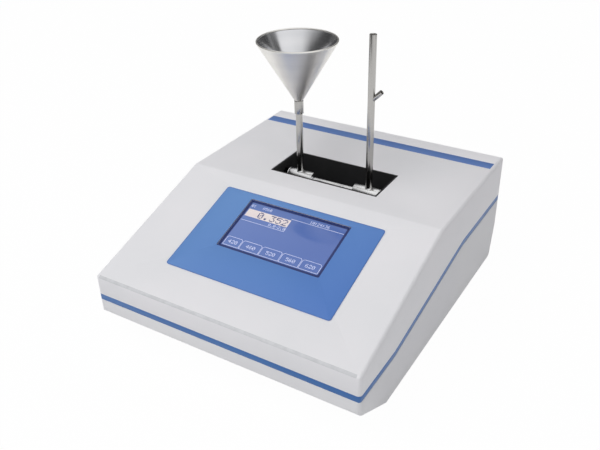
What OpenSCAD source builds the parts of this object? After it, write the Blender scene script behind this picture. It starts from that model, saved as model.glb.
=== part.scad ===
// Benchtop colorimeter with a flow cell and funnel. Millimetres, +Z up, +Y towards the rear.
// The origin is on the bench, under the middle of the housing's footprint.

/* [Housing] */
// Overall width
body_w = 300; // [290:1:330]
// Overall depth
body_d = 350; // [344:1:370]
// Height of the level top above the bench
body_h = 128; // [125:1:136]
// Height of the front lip, where the slope starts
lip_h = 75; // [71:1:79]
// Height of the lower edge of the front face
nose_h = 32; // [28:1:36]
// How far back the sloped top runs
slope_run = 169; // [163:1:175]
// How far back the underside of the nose rises from the level floor
nose_run = 54; // [47:1:57]
// How far below the opening in the rear face that face starts to slant in
tail_gap = 8; // [6:1:12]
// How far in the rear slant runs
tail_run = 12; // [9:1:16]
// Wall thickness of the cover and the tub
wall = 3; // [2.6:0.1:3.4]
// Gap between the bench and the tub's floor
floor_lift = 2; // [1.6:0.1:3]
// Radius of the front lip and the other edges that run across
lip_r = 4.5; // [3:0.5:6]
// Radius of the upper side edges
edge_r = 4; // [2:0.5:5]
// Radius of the upright corners
corner_r = 4; // [2:0.5:6]

/* [Seam] */
// Height of the seam trim's lower edge along the front
seam_front_h = 46.5; // [42.5:0.5:50.5]
// Height of the seam trim's lower edge at the rear
seam_back_h = 74.5; // [71:0.5:78]
// Height of the seam trim
seam_trim_h = 7; // [5:0.5:9]
// How far back the low stretch of the seam runs
seam_low_run = 68; // [60:1:80]
// How far back the rising stretch of the seam ends
seam_rise_run = 233; // [220:1:245]
// How far the seam trim lies below the shells' surface
seam_set = 0.4; // [0.2:0.1:0.8]
// Distance of the rear strip from the rear face
strip_back = 22.5; // [18:0.5:30]
// Width of the rear strip
strip_w = 14; // [8:0.5:16]
// Thickness of the rear strip, let into the cover
strip_t = 0.8; // [0.5:0.1:1.2]
// Distance of the rear strip's ends from the side faces
strip_side = 4; // [4:0.5:8]

/* [Panel and display] */
// Width of the blue panel overlay
panel_w = 188; // [184:1:194]
// Length of the overlay along the slope
panel_l = 116; // [110:1:122]
// Distance of the overlay's lower edge from the lip, along the slope
panel_from_lip = 41; // [37:1:45]
// Distance of the overlay's middle to the right of the housing's middle
panel_side = 5; // [1:0.5:7]
// Thickness of the overlay
panel_t = 0.6; // [0.4:0.1:1]
// Corner radius of the overlay
panel_r = 3; // [1.5:0.5:5]
// Width of the display opening
screen_w = 119; // [115:0.5:122]
// Length of the display opening along the slope
screen_l = 69; // [66:0.5:72]
// Distance of the display's lower edge from the lip, along the slope
screen_from_lip = 80.5; // [77.5:0.5:82.5]
// Distance of the display's middle to the right of the housing's middle
screen_side = 6; // [3:0.5:8]
// Width of the frame round the display window
bezel_w = 2; // [1.5:0.1:3]
// Thickness of the display window
glass_t = 1.1; // [0.8:0.1:1.5]
// How far the display window lies below the slope
glass_set = 0.9; // [0.6:0.1:1.2]
// Width of the display module's board
lcd_board_w = 144; // [140:1:150]
// Length of the display module's board
lcd_board_l = 96; // [90:1:100]
// Depth of the display module's metal can
lcd_can_h = 8; // [6:0.5:9]
// Thickness of every circuit board
board_t = 1.6; // [1.2:0.2:2]

/* [Sample chamber] */
// Width of the chamber opening
open_w = 130; // [128:1:135]
// Depth of the chamber opening, front to back
open_d = 55; // [52:0.5:58]
// Distance of the chamber's middle from the front face
chamber_run = 224; // [222:1:228]
// Depth of the chamber below the level top
chamber_deep = 58; // [56:1:60]
// Wall of the chamber liner
liner_wall = 2; // [1.6:0.1:2.4]
// Gap between the liner and the edge of the opening
liner_gap = 0.3; // [0.2:0.1:0.5]
// How far the liner's flange reaches out under the cover
flange_w = 6; // [5:0.5:8]
// Depth of the light beam below the level top
beam_drop = 15.5; // [15:0.5:17]
// Bore of the liner's light ports
port_bore = 12; // [10:0.5:13]
// Diameter of the chamber windows
window_d = 18; // [17:0.5:18.5]
// Thickness of the chamber windows
window_t = 2; // [1.6:0.1:2.4]

/* [Flow cell] */
// Overall length of the flow cell
cell_l = 116; // [112:1:120]
// Diameter of the end heads
head_d = 16; // [15:0.5:17]
// Length of each end head without its cap
head_l = 30; // [28:1:31]
// Diameter of the centre tube
cell_tube_d = 6; // [5.5:0.1:7]
// Bore of the centre tube
cell_bore = 4; // [3:0.1:4.5]
// Distance of each upright tube from the middle of the cell
riser_x = 43; // [41.5:0.5:44.5]
// Outer diameter of the inlet tube
inlet_d = 7.5; // [7:0.1:8]
// Outer diameter of the outlet tube
outlet_d = 7.5; // [7:0.1:8]
// Bore of both upright tubes
riser_bore = 5.5; // [4.5:0.1:5.6]
// Height of the inlet tube's top above the bench
inlet_top = 200; // [195:1:203]
// Height of the outlet tube's top above the bench
outlet_top = 287; // [277:1:299]
// Height at which the side spout leaves the outlet tube
spout_h = 219; // [211:1:231]
// Outer diameter of the side spout
spout_d = 5; // [4:0.1:5.5]
// Length of the side spout from the outlet tube's axis
spout_l = 16; // [12:0.5:20]

/* [Funnel] */
// Diameter of the funnel's mouth
funnel_d = 86; // [80:1:92]
// Height of the funnel's rim above the bench
funnel_top = 270; // [263:0.5:277]
// Height of the cone's tip above the bench
funnel_tip = 204; // [202.5:0.5:206.5]
// Outer diameter of the cone at its tip
funnel_neck_d = 9; // [8.6:0.1:9.6]
// Wall of the cone
funnel_wall = 1; // [0.8:0.1:1.4]
// Diameter of the bead round the rim
rim_bead_d = 2; // [1.6:0.1:2.6]
// Outer diameter of the funnel's socket
socket_d = 10; // [9.6:0.1:11]
// Length of the socket
socket_l = 14.5; // [12:0.5:16]

/* [Optics] */
// Gap between the filter wheel and the optical bench
wheel_lift = 5; // [4:0.5:7]
// Thickness of the optical bench
bench_t = 4; // [3:0.5:5]
// Gap between the optical bench's ends and the side walls
bench_end_gap = 4; // [3:0.5:7]
// Depth of the optical bench, front to back
bench_d = 78; // [72:1:82]
// Distance of the filter wheel's inner face from the chamber's middle
wheel_off = 74; // [73:0.5:78]
// Gap between the detector's housing and the side wall
detector_end_gap = 26; // [20:1:32]
// Gap between the lamp's housing and the side wall
lamp_end_gap = 4; // [3:0.5:7]
// Length of the lamp's housing
lamp_l = 24; // [23:0.5:26]
// Depth of the lamp's housing, front to back
lamp_d = 34; // [30:1:36]
// Length of the detector's housing
detector_l = 24; // [20:0.5:26]
// Depth of the detector's housing, front to back
detector_d = 30; // [26:1:34]
// Diameter of the filter wheel
wheel_d = 64; // [62:0.5:64]
// Thickness of the filter wheel
wheel_t = 4; // [3:0.5:5]
// Number of filters
filter_count = 8; // [4:1:9]
// Diameter of each filter
filter_d = 9.4; // [8:0.1:10]
// Distance of the filters from the wheel's axis
filter_ring_r = 24.5; // [24:0.5:25.5]
// Outer diameter of the collimator barrel
barrel_d = 14; // [13.5:0.1:14.5]
// Diameter of both lenses
lens_d = 11; // [10:0.1:11.4]
// Diameter of the wheel motor
motor_d = 28; // [24:1:28]
// Length of the wheel motor
motor_l = 18; // [16:1:20]

/* [Rear panel] */
// Width of the opening in the rear face
rear_w = 236; // [230:1:240]
// Distance of the opening's upper edge below the level top
rear_head = 13; // [12:0.5:14]
// Height of the opening
rear_h = 50; // [48:0.5:51]
// How far the panel's floor lies in from the rear wall
rear_recess = 9; // [8.5:0.5:10]
// Thickness of the panel's sheet
sheet_t = 1.5; // [1:0.1:2]
// Distance of the power inlet to the left of the middle, seen from the front
inlet_x = 88; // [84:1:92]
// Distance of the power switch to the left of the middle
switch_x = 52; // [48:1:56]
// How far the fuse drawer slides out
fuse_travel = 14; // [10:1:15]
// Tilt of the power rocker to either side
rocker_tilt = 9; // [6:0.5:11]

/* [Electronics] */
// Width of the main board
board_w = 164; // [150:1:184]
// Depth of the main board
board_d = 100; // [90:1:102]
// Distance of the main board's front edge from the front face
board_run = 66; // [64:1:70]
// Height of the standoffs under the main board
standoff_h = 8; // [6:0.5:10]
// Width of the power supply's cage
psu_w = 48; // [46:1:56]
// Depth of the power supply's cage
psu_d = 88; // [86:1:92]
// Height of the power supply's cage
psu_h = 34; // [28:1:36]

/* [Feet and screws] */
// Diameter of the rubber feet
foot_d = 16; // [12:0.5:20]
// Distance of the feet from the side faces
foot_side = 38; // [32:1:44]
// Distance of the front feet from the front face
foot_front_run = 72; // [66:1:80]
// Distance of the rear feet from the rear face
foot_back = 42; // [38:1:50]
// Thread diameter of the large screws
screw_d = 4; // [3:0.5:4]
// Head diameter of the large screws
screw_head_d = 7.6; // [6.5:0.1:8]
// Distance of the cover screws from the side faces
boss_side = 12; // [11:0.5:13]
// Distance of the front cover screws from the front face
boss_front_run = 68; // [66:1:72]
// Distance of the rear cover screws from the rear face
boss_back = 38; // [36:1:44]
// Height at which the tub's bosses meet the cover's posts
boss_split_h = 50; // [48:0.5:52]

/* [Hidden] */

// Clearances: a fit between round pieces, a loose gap and the overshoot of a cut
fit = 0.03;
gap = 0.3;
over = 1;
// How far a boss or post runs into the wall that it stands on
sink = 0.5;

// Frame of reference worked out from the driving sizes
front_y = -body_d / 2;
back_y = body_d / 2;
floor_in = floor_lift + wall;
rear_low = body_h - rear_head - rear_h;
tail_h = rear_low - tail_gap;
slope_angle = atan((body_h - lip_h) / slope_run);
slope_len = norm([slope_run, body_h - lip_h]);
beam_y = front_y + chamber_run;
beam_z = body_h - beam_drop;

// Housing colours
paint = "#e4e4e6";
blue = "#3f71b4";
dark_blue = "#1b2b66";
black = "#1a1a1c";
steel = "#c9cbcf";
alloy = "#b4b8bd";
board_green = "#2f6b45";
glass_tint = "#cfe2ee";

// Geometry helpers

function unit(v) = v / norm(v);
function left(v) = [-v.y, v.x];
function wrap(i, n) = (i + n) % n;

// One corner of an outline as an arc of radius r, tangent to both its edges
function corner_arc(a, p, b, r, steps) =
    let (
        u = unit(a - p),
        w = unit(b - p),
        half = acos(u * w) / 2,
        c = p + unit(u + w) * r / sin(half),
        s = p + u * r / tan(half) - c,
        e = p + w * r / tan(half) - c,
        start = atan2(s.y, s.x),
        turn = atan2(e.y, e.x) - start,
        sweep = turn > 180 ? turn - 360 : turn < -180 ? turn + 360 : turn
    )
    [for (i = [0:steps]) c + r * [cos(start + sweep * i / steps), sin(start + sweep * i / steps)]];

// An outline with each corner rounded by its own radius
function rounded(pts, radii, steps = 8) =
    let (n = len(pts))
    [for (i = [0:n - 1]) each corner_arc(pts[wrap(i - 1, n)], pts[i], pts[wrap(i + 1, n)], radii[i], steps)];

// An outline moved inwards by t on every side (corners run anticlockwise)
function inset(pts, t) =
    let (n = len(pts))
    [for (i = [0:n - 1])
        let (
            n1 = left(unit(pts[i] - pts[wrap(i - 1, n)])),
            n2 = left(unit(pts[wrap(i + 1, n)] - pts[i]))
        )
        pts[i] + t * (n1 + n2) / (1 + n1 * n2)];

// A side outline, given as [y, z] points, drawn out across the width
module across(pts, width) {
    rotate([90, 0, 90]) linear_extrude(height = width, center = true) polygon(pts);
}

// A block centred on x and y, standing on z
module block(size, at) {
    translate([at.x - size.x / 2, at.y - size.y / 2, at.z]) cube(size);
}

// A rod along X from x1 to x2
module rod_x(d, x1, x2, y, z) {
    translate([x1, y, z]) rotate([0, 90, 0]) cylinder(d = d, h = x2 - x1, $fn = 64);
}

// A rod along Y from y1 to y2
module rod_y(d, y1, y2, x, z) {
    translate([x, y1, z]) rotate([-90, 0, 0]) cylinder(d = d, h = y2 - y1, $fn = 48);
}

// A rod along Z from z1 to z2
module rod_z(d, z1, z2, x, y) {
    translate([x, y, z1]) cylinder(d = d, h = z2 - z1, $fn = 64);
}

// A flat plate with round corners, on z = 0
module round_plate(w, l, t, r) {
    linear_extrude(height = t)
        polygon(rounded([[-w / 2, -l / 2], [w / 2, -l / 2], [w / 2, l / 2], [-w / 2, l / 2]],
            [r, r, r, r]));
}

// Places children at the four corners of a rectangle about [x, y]
module at_corners(dx, dy, x = 0, y = 0) {
    for (sx = [-1, 1]) {
        for (sy = [-1, 1]) {
            translate([x + sx * dx, y + sy * dy, 0]) children();
        }
    }
}

// Puts children on the slope: x across, y up the slope from the lip, z out of the surface
module on_slope() {
    translate([0, front_y, lip_h]) rotate([slope_angle, 0, 0]) children();
}

// A pan head screw: shank up from the head's underside at z = 0, head below it
module pan_screw(d, head_d, head_h, shank) {
    cylinder(d = d, h = shank, $fn = 32);
    difference() {
        translate([0, 0, -head_h]) cylinder(d = head_d, h = head_h, $fn = 40);
        translate([0, 0, -head_h - over]) cylinder(d = d * 0.6, h = over + head_h * 0.5, $fn = 6);
    }
}

// The housing's outer form

side_points = [
    [front_y + nose_run, floor_lift],
    [back_y - tail_run, floor_lift],
    [back_y, tail_h],
    [back_y, body_h],
    [front_y + slope_run, body_h],
    [front_y, lip_h],
    [front_y, nose_h]
];
side_radii = [lip_r, lip_r, lip_r, edge_r, lip_r * 2, lip_r, lip_r];

// Outline of the body seen along the level top or along the slope, with round upper edges
module top_outline(top) {
    polygon(rounded([[-body_w / 2, top - body_h * 2], [body_w / 2, top - body_h * 2],
        [body_w / 2, top], [-body_w / 2, top]], [1, 1, edge_r, edge_r]));
}

module outer_form() {
    intersection() {
        across(rounded(side_points, side_radii), body_w);
        translate([0, 0, -over])
            linear_extrude(height = body_h + 2 * over)
                polygon(rounded([[-body_w / 2, front_y], [body_w / 2, front_y],
                    [body_w / 2, back_y], [-body_w / 2, back_y]],
                    [corner_r, corner_r, corner_r, corner_r]));
        translate([0, back_y + over, 0]) rotate([90, 0, 0])
            linear_extrude(height = body_d + 2 * over) top_outline(body_h);
        on_slope() translate([0, slope_len + body_d, 0]) rotate([90, 0, 0])
            linear_extrude(height = slope_len + body_d * 2) top_outline(0);
    }
}

module inner_form(t) {
    across(inset(side_points, t), body_w - 2 * t);
}

// Side outline of the space above a seam whose height is raised by lift
module above_seam(lift, top) {
    across([
        [front_y - over, seam_front_h + lift],
        [front_y + seam_low_run, seam_front_h + lift],
        [front_y + seam_rise_run, seam_back_h + lift],
        [back_y + over, seam_back_h + lift],
        [back_y + over, top],
        [front_y - over, top]
    ], body_w + 2 * over);
}

module rear_opening() {
    translate([-rear_w / 2, back_y - wall - over, rear_low]) cube([rear_w, wall + 2 * over, rear_h]);
}

boss_x = body_w / 2 - boss_side;
boss_mid_y = (boss_front_run - boss_back) / 2;
boss_dy = (body_d - boss_back - boss_front_run) / 2;
boss_d = screw_head_d + 4;
boss_screw_d = screw_d + 2 * fit;
// Height of the cover screws' seat in the tub's bosses
screw_seat_z = floor_lift + 10;
cover_screw_bite = 12;
cover_screw_l = boss_split_h - screw_seat_z + cover_screw_bite;
cover_head_h = 2.6;

rear_flange = 5;
rear_screw_in = 30;
rear_screw_xs = [rear_screw_in - rear_w / 2, 0, rear_w / 2 - rear_screw_in];
rear_screw_lift = 2.6;
rear_screw_zs = [rear_low - rear_screw_lift, rear_low + rear_h + rear_screw_lift];
rear_screw_d = 2.5;
rear_head_d = 4.4;
rear_head_h = 1.6;

module rear_screw_holes() {
    for (x = rear_screw_xs) {
        for (z = rear_screw_zs) {
            rod_y(rear_screw_d + 2 * fit, back_y - wall - over, back_y + over, x, z);
            rod_y(rear_head_d + 0.4, back_y - rear_head_h, back_y + over, x, z);
        }
    }
}

lcd_x = screen_side;
lcd_y = screen_from_lip + screen_l / 2;
lcd_hole_x = lcd_board_w / 2 - 5;
lcd_hole_y = lcd_board_l / 2 - 5;
lcd_top = -wall - gap;
small_d = 3;
small_hole_d = small_d + 2 * fit;
small_head_d = 5.6;
small_head_h = 2;
// How far a small screw bites into what it holds
small_bite = 6;
lcd_post_d = 7;

module upper_cover() {
    color(paint) {
        difference() {
            union() {
                intersection() {
                    difference() {
                        outer_form();
                        inner_form(wall);
                    }
                    above_seam(seam_trim_h, body_h + over);
                }
                intersection() {
                    at_corners(boss_x, boss_dy, 0, boss_mid_y) rod_z(boss_d, boss_split_h, body_h, 0, 0);
                    inner_form(wall - sink);
                }
                on_slope() at_corners(lcd_hole_x, lcd_hole_y, lcd_x, lcd_y)
                    rod_z(lcd_post_d, lcd_top - lcd_can_h, -wall + sink, 0, 0);
            }
            at_corners(boss_x, boss_dy, 0, boss_mid_y)
                rod_z(boss_screw_d, boss_split_h - over, boss_split_h + cover_screw_bite + over, 0, 0);
            on_slope() at_corners(lcd_hole_x, lcd_hole_y, lcd_x, lcd_y)
                rod_z(small_hole_d, lcd_top - lcd_can_h - over, lcd_top - 1, 0, 0);
            translate([0, beam_y, body_h - wall - over])
                linear_extrude(height = wall + 2 * over) square([open_w, open_d], center = true);
            on_slope() translate([screen_side, screen_from_lip + screen_l / 2, -wall - over])
                round_plate(screen_w, screen_l, wall + 2 * over, 1.5);
            rear_opening();
            rear_screw_holes();
            strip_zone();
        }
    }
}

foot_x = body_w / 2 - foot_side;
foot_mid_y = (foot_front_run - foot_back) / 2;
foot_dy = (body_d - foot_back - foot_front_run) / 2;
foot_pocket = 1;
foot_screw_l = 8;
// Rubber left under the foot screw's seat
foot_web = 1.4;
foot_seat_z = foot_pocket + floor_lift - foot_web;
chassis_z = floor_in + 5;
chassis_t = 2;
chassis_top = chassis_z + chassis_t;
chassis_w = 2 * (boss_x - boss_d / 2 - 3);
chassis_front = front_y + nose_run + 10;
chassis_back = back_y - tail_run - 8;
chassis_hole_x = foot_x - 16;
chassis_hole_y = (chassis_back - chassis_front) / 2 - 12;
chassis_mid_y = (chassis_front + chassis_back) / 2;

module lower_tub() {
    color(paint) {
        difference() {
            union() {
                difference() {
                    outer_form();
                    inner_form(wall);
                    above_seam(0, body_h + 2 * over);
                }
                at_corners(boss_x, boss_dy, 0, boss_mid_y)
                    rod_z(boss_d, floor_lift + sink, boss_split_h, 0, 0);
                at_corners(foot_x, foot_dy, 0, foot_mid_y)
                    rod_z(screw_d + 5, floor_lift + foot_pocket + sink, chassis_z, 0, 0);
                at_corners(chassis_hole_x, chassis_hole_y, 0, chassis_mid_y)
                    rod_z(small_d + 7, floor_lift + sink, chassis_z, 0, 0);
            }
            at_corners(boss_x, boss_dy, 0, boss_mid_y) {
                rod_z(boss_screw_d, 0, boss_split_h + over, 0, 0);
                rod_z(screw_head_d + 2 * gap, 0, screw_seat_z, 0, 0);
            }
            at_corners(foot_x, foot_dy, 0, foot_mid_y) {
                rod_z(foot_d + 2 * gap, 0, floor_lift + foot_pocket, 0, 0);
                rod_z(screw_d + 2 * fit, 0, foot_seat_z + foot_screw_l + over, 0, 0);
            }
            at_corners(chassis_hole_x, chassis_hole_y, 0, chassis_mid_y)
                rod_z(small_hole_d, chassis_z - small_bite - over, chassis_z + over, 0, 0);
            rear_opening();
            rear_screw_holes();
        }
    }
}

module seam_trim() {
    color(blue) {
        difference() {
            intersection() {
                outer_form();
                inner_form(seam_set);
                above_seam(0, body_h);
            }
            inner_form(wall);
            above_seam(seam_trim_h, body_h + over);
            rear_opening();
        }
    }
}

// The space that the strip takes up in the cover's top
module strip_zone() {
    block([body_w - 2 * strip_side, strip_w, strip_t + over],
        [0, back_y - strip_back - strip_w / 2, body_h - strip_t]);
}

module rear_strip() {
    color(blue) intersection() {
        outer_form();
        strip_zone();
    }
}

// Panel and display, built on the slope

panel_y = panel_from_lip + panel_l / 2;
bezel_gap = 0.2;
pane_w = screen_w - 2 * bezel_w;
pane_l = screen_l - 2 * bezel_w;

module panel_overlay() {
    color(blue) on_slope() difference() {
        translate([panel_side, panel_y, 0]) round_plate(panel_w, panel_l, panel_t, panel_r);
        translate([lcd_x, lcd_y, -over]) round_plate(screen_w, screen_l, panel_t + 2 * over, 1.5);
    }
}

module screen_bezel() {
    color(dark_blue) on_slope() translate([lcd_x, lcd_y, 0]) difference() {
        translate([0, 0, -wall])
            round_plate(screen_w - 2 * bezel_gap, screen_l - 2 * bezel_gap, wall - gap, 1.3);
        translate([0, 0, -glass_set - glass_t]) round_plate(pane_w + 0.1, pane_l + 0.1, wall, 1);
        translate([0, 0, -wall - over]) round_plate(pane_w - 2, pane_l - 2, wall + 2 * over, 1);
    }
}

module screen_glass() {
    color("#5a74b8") on_slope() translate([lcd_x, lcd_y, -glass_set - glass_t])
        round_plate(pane_w, pane_l, glass_t, 1);
}

lcd_can_w = lcd_board_w - 19;
lcd_can_l = lcd_board_l - 20;
lcd_back = lcd_top - lcd_can_h - board_t;
driver_size = [18, 12, 2.2];
driver_pitch = 30;
header_w = 34;
header_h = 3;
header_y = lcd_y - lcd_board_l / 2 + 8;

module display_module() {
    color(alloy) on_slope() {
        block([lcd_can_w, lcd_can_l, lcd_can_h], [lcd_x, lcd_y, lcd_top - lcd_can_h]);
        difference() {
            block([lcd_board_w, lcd_board_l, board_t], [lcd_x, lcd_y, lcd_back]);
            at_corners(lcd_hole_x, lcd_hole_y, lcd_x, lcd_y)
                rod_z(small_hole_d, lcd_back - over, lcd_back + board_t + over, 0, 0);
        }
        block([header_w, 6, header_h], [lcd_x, header_y, lcd_back - header_h]);
        for (i = [-1:1]) {
            block(driver_size,
                [lcd_x + i * driver_pitch, lcd_y + driver_size.y / 2, lcd_back - driver_size.z]);
        }
    }
}

// A point given up the slope and out of it, as [y, z] in the housing's frame
function off_slope(v, n) = [
    front_y + v * cos(slope_angle) - n * sin(slope_angle),
    lip_h + v * sin(slope_angle) + n * cos(slope_angle)
];

// Outline of a thin sheet of thickness t that follows a line of points
function sheet_outline(pts, t) =
    let (
        n = len(pts),
        side = [for (i = [0:n - 1])
            let (
                a = left(unit(pts[max(i, 1)] - pts[max(i, 1) - 1])),
                b = left(unit(pts[min(i, n - 2) + 1] - pts[min(i, n - 2)]))
            )
            (a + b) / (1 + a * b) * t / 2]
    )
    concat([for (i = [0:n - 1]) pts[i] + side[i]], [for (i = [n - 1:-1:0]) pts[i] - side[i]]);

ribbon_t = 0.6;
ribbon_w = 30;
plug_h = 5;
board_z = chassis_top + standoff_h;
board_top = board_z + board_t;
board_y = front_y + board_run + board_d / 2;
ribbon_plug_y = board_y + 20;

module display_ribbon() {
    from = off_slope(header_y, lcd_back - header_h);
    below = off_slope(header_y, lcd_back - header_h - 6);
    plug = [ribbon_plug_y, board_top + plug_h];
    color("#b9bcc4") translate([lcd_x, 0, 0])
        across(sheet_outline([from, below, below + [12, -4], plug + [-4, 12], plug + [0, 7], plug], ribbon_t),
            ribbon_w);
}

// Feet, screws and chassis

module rubber_feet() {
    color(black) at_corners(foot_x, foot_dy, 0, foot_mid_y) difference() {
        rod_z(foot_d, 0, floor_lift + foot_pocket, 0, 0);
        rod_z(screw_head_d + 2 * gap, -over, foot_seat_z, 0, 0);
        rod_z(screw_d + 2 * fit, 0, body_h, 0, 0);
    }
}

module foot_screws() {
    color(steel) at_corners(foot_x, foot_dy, 0, foot_mid_y)
        translate([0, 0, foot_seat_z]) pan_screw(screw_d, screw_head_d, foot_seat_z * 0.7, foot_screw_l);
}

module cover_screws() {
    color(steel) at_corners(boss_x, boss_dy, 0, boss_mid_y)
        translate([0, 0, screw_seat_z]) pan_screw(screw_d, screw_head_d, cover_head_h, cover_screw_l);
}

bench_w = body_w - 2 * (wall + bench_end_gap);
pillar_in = [25, 9];
pillar_x = bench_w / 2 - pillar_in.x;
pillar_dy = bench_d / 2 - pillar_in.y;
// How far the power supply and the main board stay in from the chassis plate's sides
chassis_edge = 1.2;
psu_x = psu_w / 2 + chassis_edge - chassis_w / 2;
psu_y = chassis_front + 18 + psu_d / 2;
psu_tab = 8;
psu_sheet_t = 1;
psu_tab_x = psu_x + (psu_w + psu_tab) / 2;
psu_tab_dy = psu_d / 2 - 10;
board_hole_in = 5;
board_x = chassis_w / 2 - chassis_edge - board_w / 2;
board_hole_x = board_w / 2 - board_hole_in;
board_hole_y = board_d / 2 - board_hole_in;

module chassis_plate() {
    color(alloy) difference() {
        block([chassis_w, chassis_back - chassis_front, chassis_t], [0, chassis_mid_y, chassis_z]);
        at_corners(chassis_hole_x, chassis_hole_y, 0, chassis_mid_y)
            rod_z(small_hole_d, chassis_z - over, chassis_top + over, 0, 0);
        for (sy = [-1, 1]) {
            rod_z(small_hole_d, chassis_z - over, chassis_top + over, psu_tab_x, psu_y + sy * psu_tab_dy);
        }
    }
}

// A small pan head screw pointing down, its head seated at height z
module small_screw_down(z, shank) {
    translate([0, 0, z]) mirror([0, 0, 1]) pan_screw(small_d, small_head_d, small_head_h, shank);
}

bench_top = beam_z - filter_ring_r - wheel_d / 2 - wheel_lift;
bench_z = bench_top - bench_t;
liner_bottom = body_h - chamber_deep - liner_wall;
liner_floor = liner_bottom + liner_wall;
holder_base_t = 4;
holder_screw_x = 20;

module small_screws() {
    color(steel) {
        on_slope() at_corners(lcd_hole_x, lcd_hole_y, lcd_x, lcd_y)
            translate([0, 0, lcd_back]) pan_screw(small_d, small_head_d, small_head_h, board_t + small_bite);
        at_corners(board_hole_x, board_hole_y, board_x, board_y)
            small_screw_down(board_top, board_t + small_bite);
        at_corners(chassis_hole_x, chassis_hole_y, 0, chassis_mid_y)
            small_screw_down(chassis_top, chassis_t + small_bite);
        at_corners(pillar_x, pillar_dy, 0, beam_y) small_screw_down(bench_top, bench_t + small_bite);
        for (sx = [-1, 1]) {
            translate([sx * holder_screw_x, beam_y, 0])
                small_screw_down(liner_floor + holder_base_t, holder_base_t + liner_wall);
            translate([psu_tab_x, psu_y + sx * psu_tab_dy, 0])
                small_screw_down(chassis_top + psu_sheet_t, psu_sheet_t + chassis_t);
        }
    }
}

// Electronics

// Sizes of what stands on the main board
board_right = board_x + board_w / 2;
processor_size = [22, 22, 2.4];
memory_size = [14, 10, 2];
relay_size = [26, 9, 9];
terminal_size = [12, 24, 9];
crystal_size = [11, 4.5, 3.5];
can_d = 8;
can_h = 11;
plug_d = 8;

module main_board() {
    color(board_green) difference() {
        block([board_w, board_d, board_t], [board_x, board_y, board_z]);
        at_corners(board_hole_x, board_hole_y, board_x, board_y)
            rod_z(small_hole_d, board_z - over, board_top + over, 0, 0);
    }
    color(black) {
        block(processor_size, [board_x - processor_size.x / 2, board_y, board_top]);
        for (i = [0, 1]) {
            block(memory_size,
                [board_x + memory_size.x * (0.2 + i * 1.6), board_y + 2 * memory_size.y, board_top]);
        }
        block([header_w, plug_d, plug_h], [lcd_x, ribbon_plug_y, board_top]);
        block(relay_size, [board_right - relay_size.x / 2 - 9, board_y + board_hole_y - 11, board_top]);
        block(terminal_size,
            [board_right - terminal_size.x / 2 - 8, board_y - terminal_size.y / 2, board_top]);
    }
    color(steel) {
        for (i = [0:2]) {
            rod_z(can_d, board_top, board_top + can_h,
                board_x + can_d * (2.5 + i * 1.6), board_y - 3.5 * can_d);
        }
        block(crystal_size,
            [board_x - processor_size.x - crystal_size.x, board_y - processor_size.y, board_top]);
    }
}

module board_standoffs() {
    color(steel) at_corners(board_hole_x, board_hole_y, board_x, board_y) difference() {
        rod_z(2 * small_d, chassis_top, board_z, 0, 0);
        rod_z(small_hole_d, board_z - small_bite - over, board_z + over, 0, 0);
    }
}

module power_cage() {
    color(alloy) difference() {
        union() {
            block([psu_w, psu_d, psu_h], [psu_x, psu_y, chassis_top]);
            block([psu_tab + over, psu_d, psu_sheet_t], [psu_tab_x - over / 2, psu_y, chassis_top]);
        }
        block([psu_w - 2 * psu_sheet_t, psu_d - 2 * psu_sheet_t, psu_h - psu_sheet_t + over],
            [psu_x, psu_y, chassis_top - over]);
        for (i = [-4:4]) {
            block([psu_w - 16, 3, 4 * psu_sheet_t],
                [psu_x, psu_y + i * 9, chassis_top + psu_h - 2 * psu_sheet_t]);
        }
        for (sy = [-1, 1]) {
            rod_z(small_hole_d, chassis_z, chassis_top + psu_sheet_t + over,
                psu_tab_x, psu_y + sy * psu_tab_dy);
        }
    }
}

// Sizes of what stands on the power board
transformer_size = [26, 26, 18];
filter_size = [24, 14, 12];
heat_sink_size = [28, 4, 16];
store_d = 12;
store_h = 16;
power_post_h = 6;

module power_board() {
    board_low = chassis_top + power_post_h;
    up = board_low + board_t;
    color(board_green) {
        block([psu_w - 10, psu_d - 8, board_t], [psu_x, psu_y, board_low]);
        at_corners(psu_w / 2 - 9, psu_d / 2 - 8, psu_x, psu_y) rod_z(5, chassis_top, board_low, 0, 0);
    }
    color(black) {
        block(transformer_size, [psu_x, psu_y + 5, up]);
        at_corners(store_d * 0.75, 0, psu_x, psu_y + 5 + transformer_size.y / 2 + store_d)
            rod_z(store_d, up, up + store_h, 0, 0);
        block(filter_size, [psu_x, psu_y - transformer_size.y / 2 - filter_size.y / 2, up]);
        block(heat_sink_size, [psu_x, psu_y - transformer_size.y / 2 - filter_size.y - 6, up]);
    }
}

// Rear panel and what is set in it

rear_in_y = back_y - wall;
pan_y = rear_in_y - rear_recess;
rear_mid_z = rear_low + rear_h / 2;
inlet_size = [26, 32];
switch_size = [22, 28];
rocker_w = 18;
rocker_half = 11.8;
port_size = [19, 10.6];
port_xs = [-8, 30];
usb_x = 58;
usb_size = [14.5, 7];
usb_mouth = [12.5, 5];
usb_tongue = [11, 1.8];
port_shell = [17, 8.4];
port_shell_t = 0.5;
port_stand = 6;
port_plate = [31, 12.6];
port_plate_t = 1;
jack_d = 5;
jack_x = 12.5;
vent_size = [1.4, 30];
vent_pitch = 4;
vent_count = 8;

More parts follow.
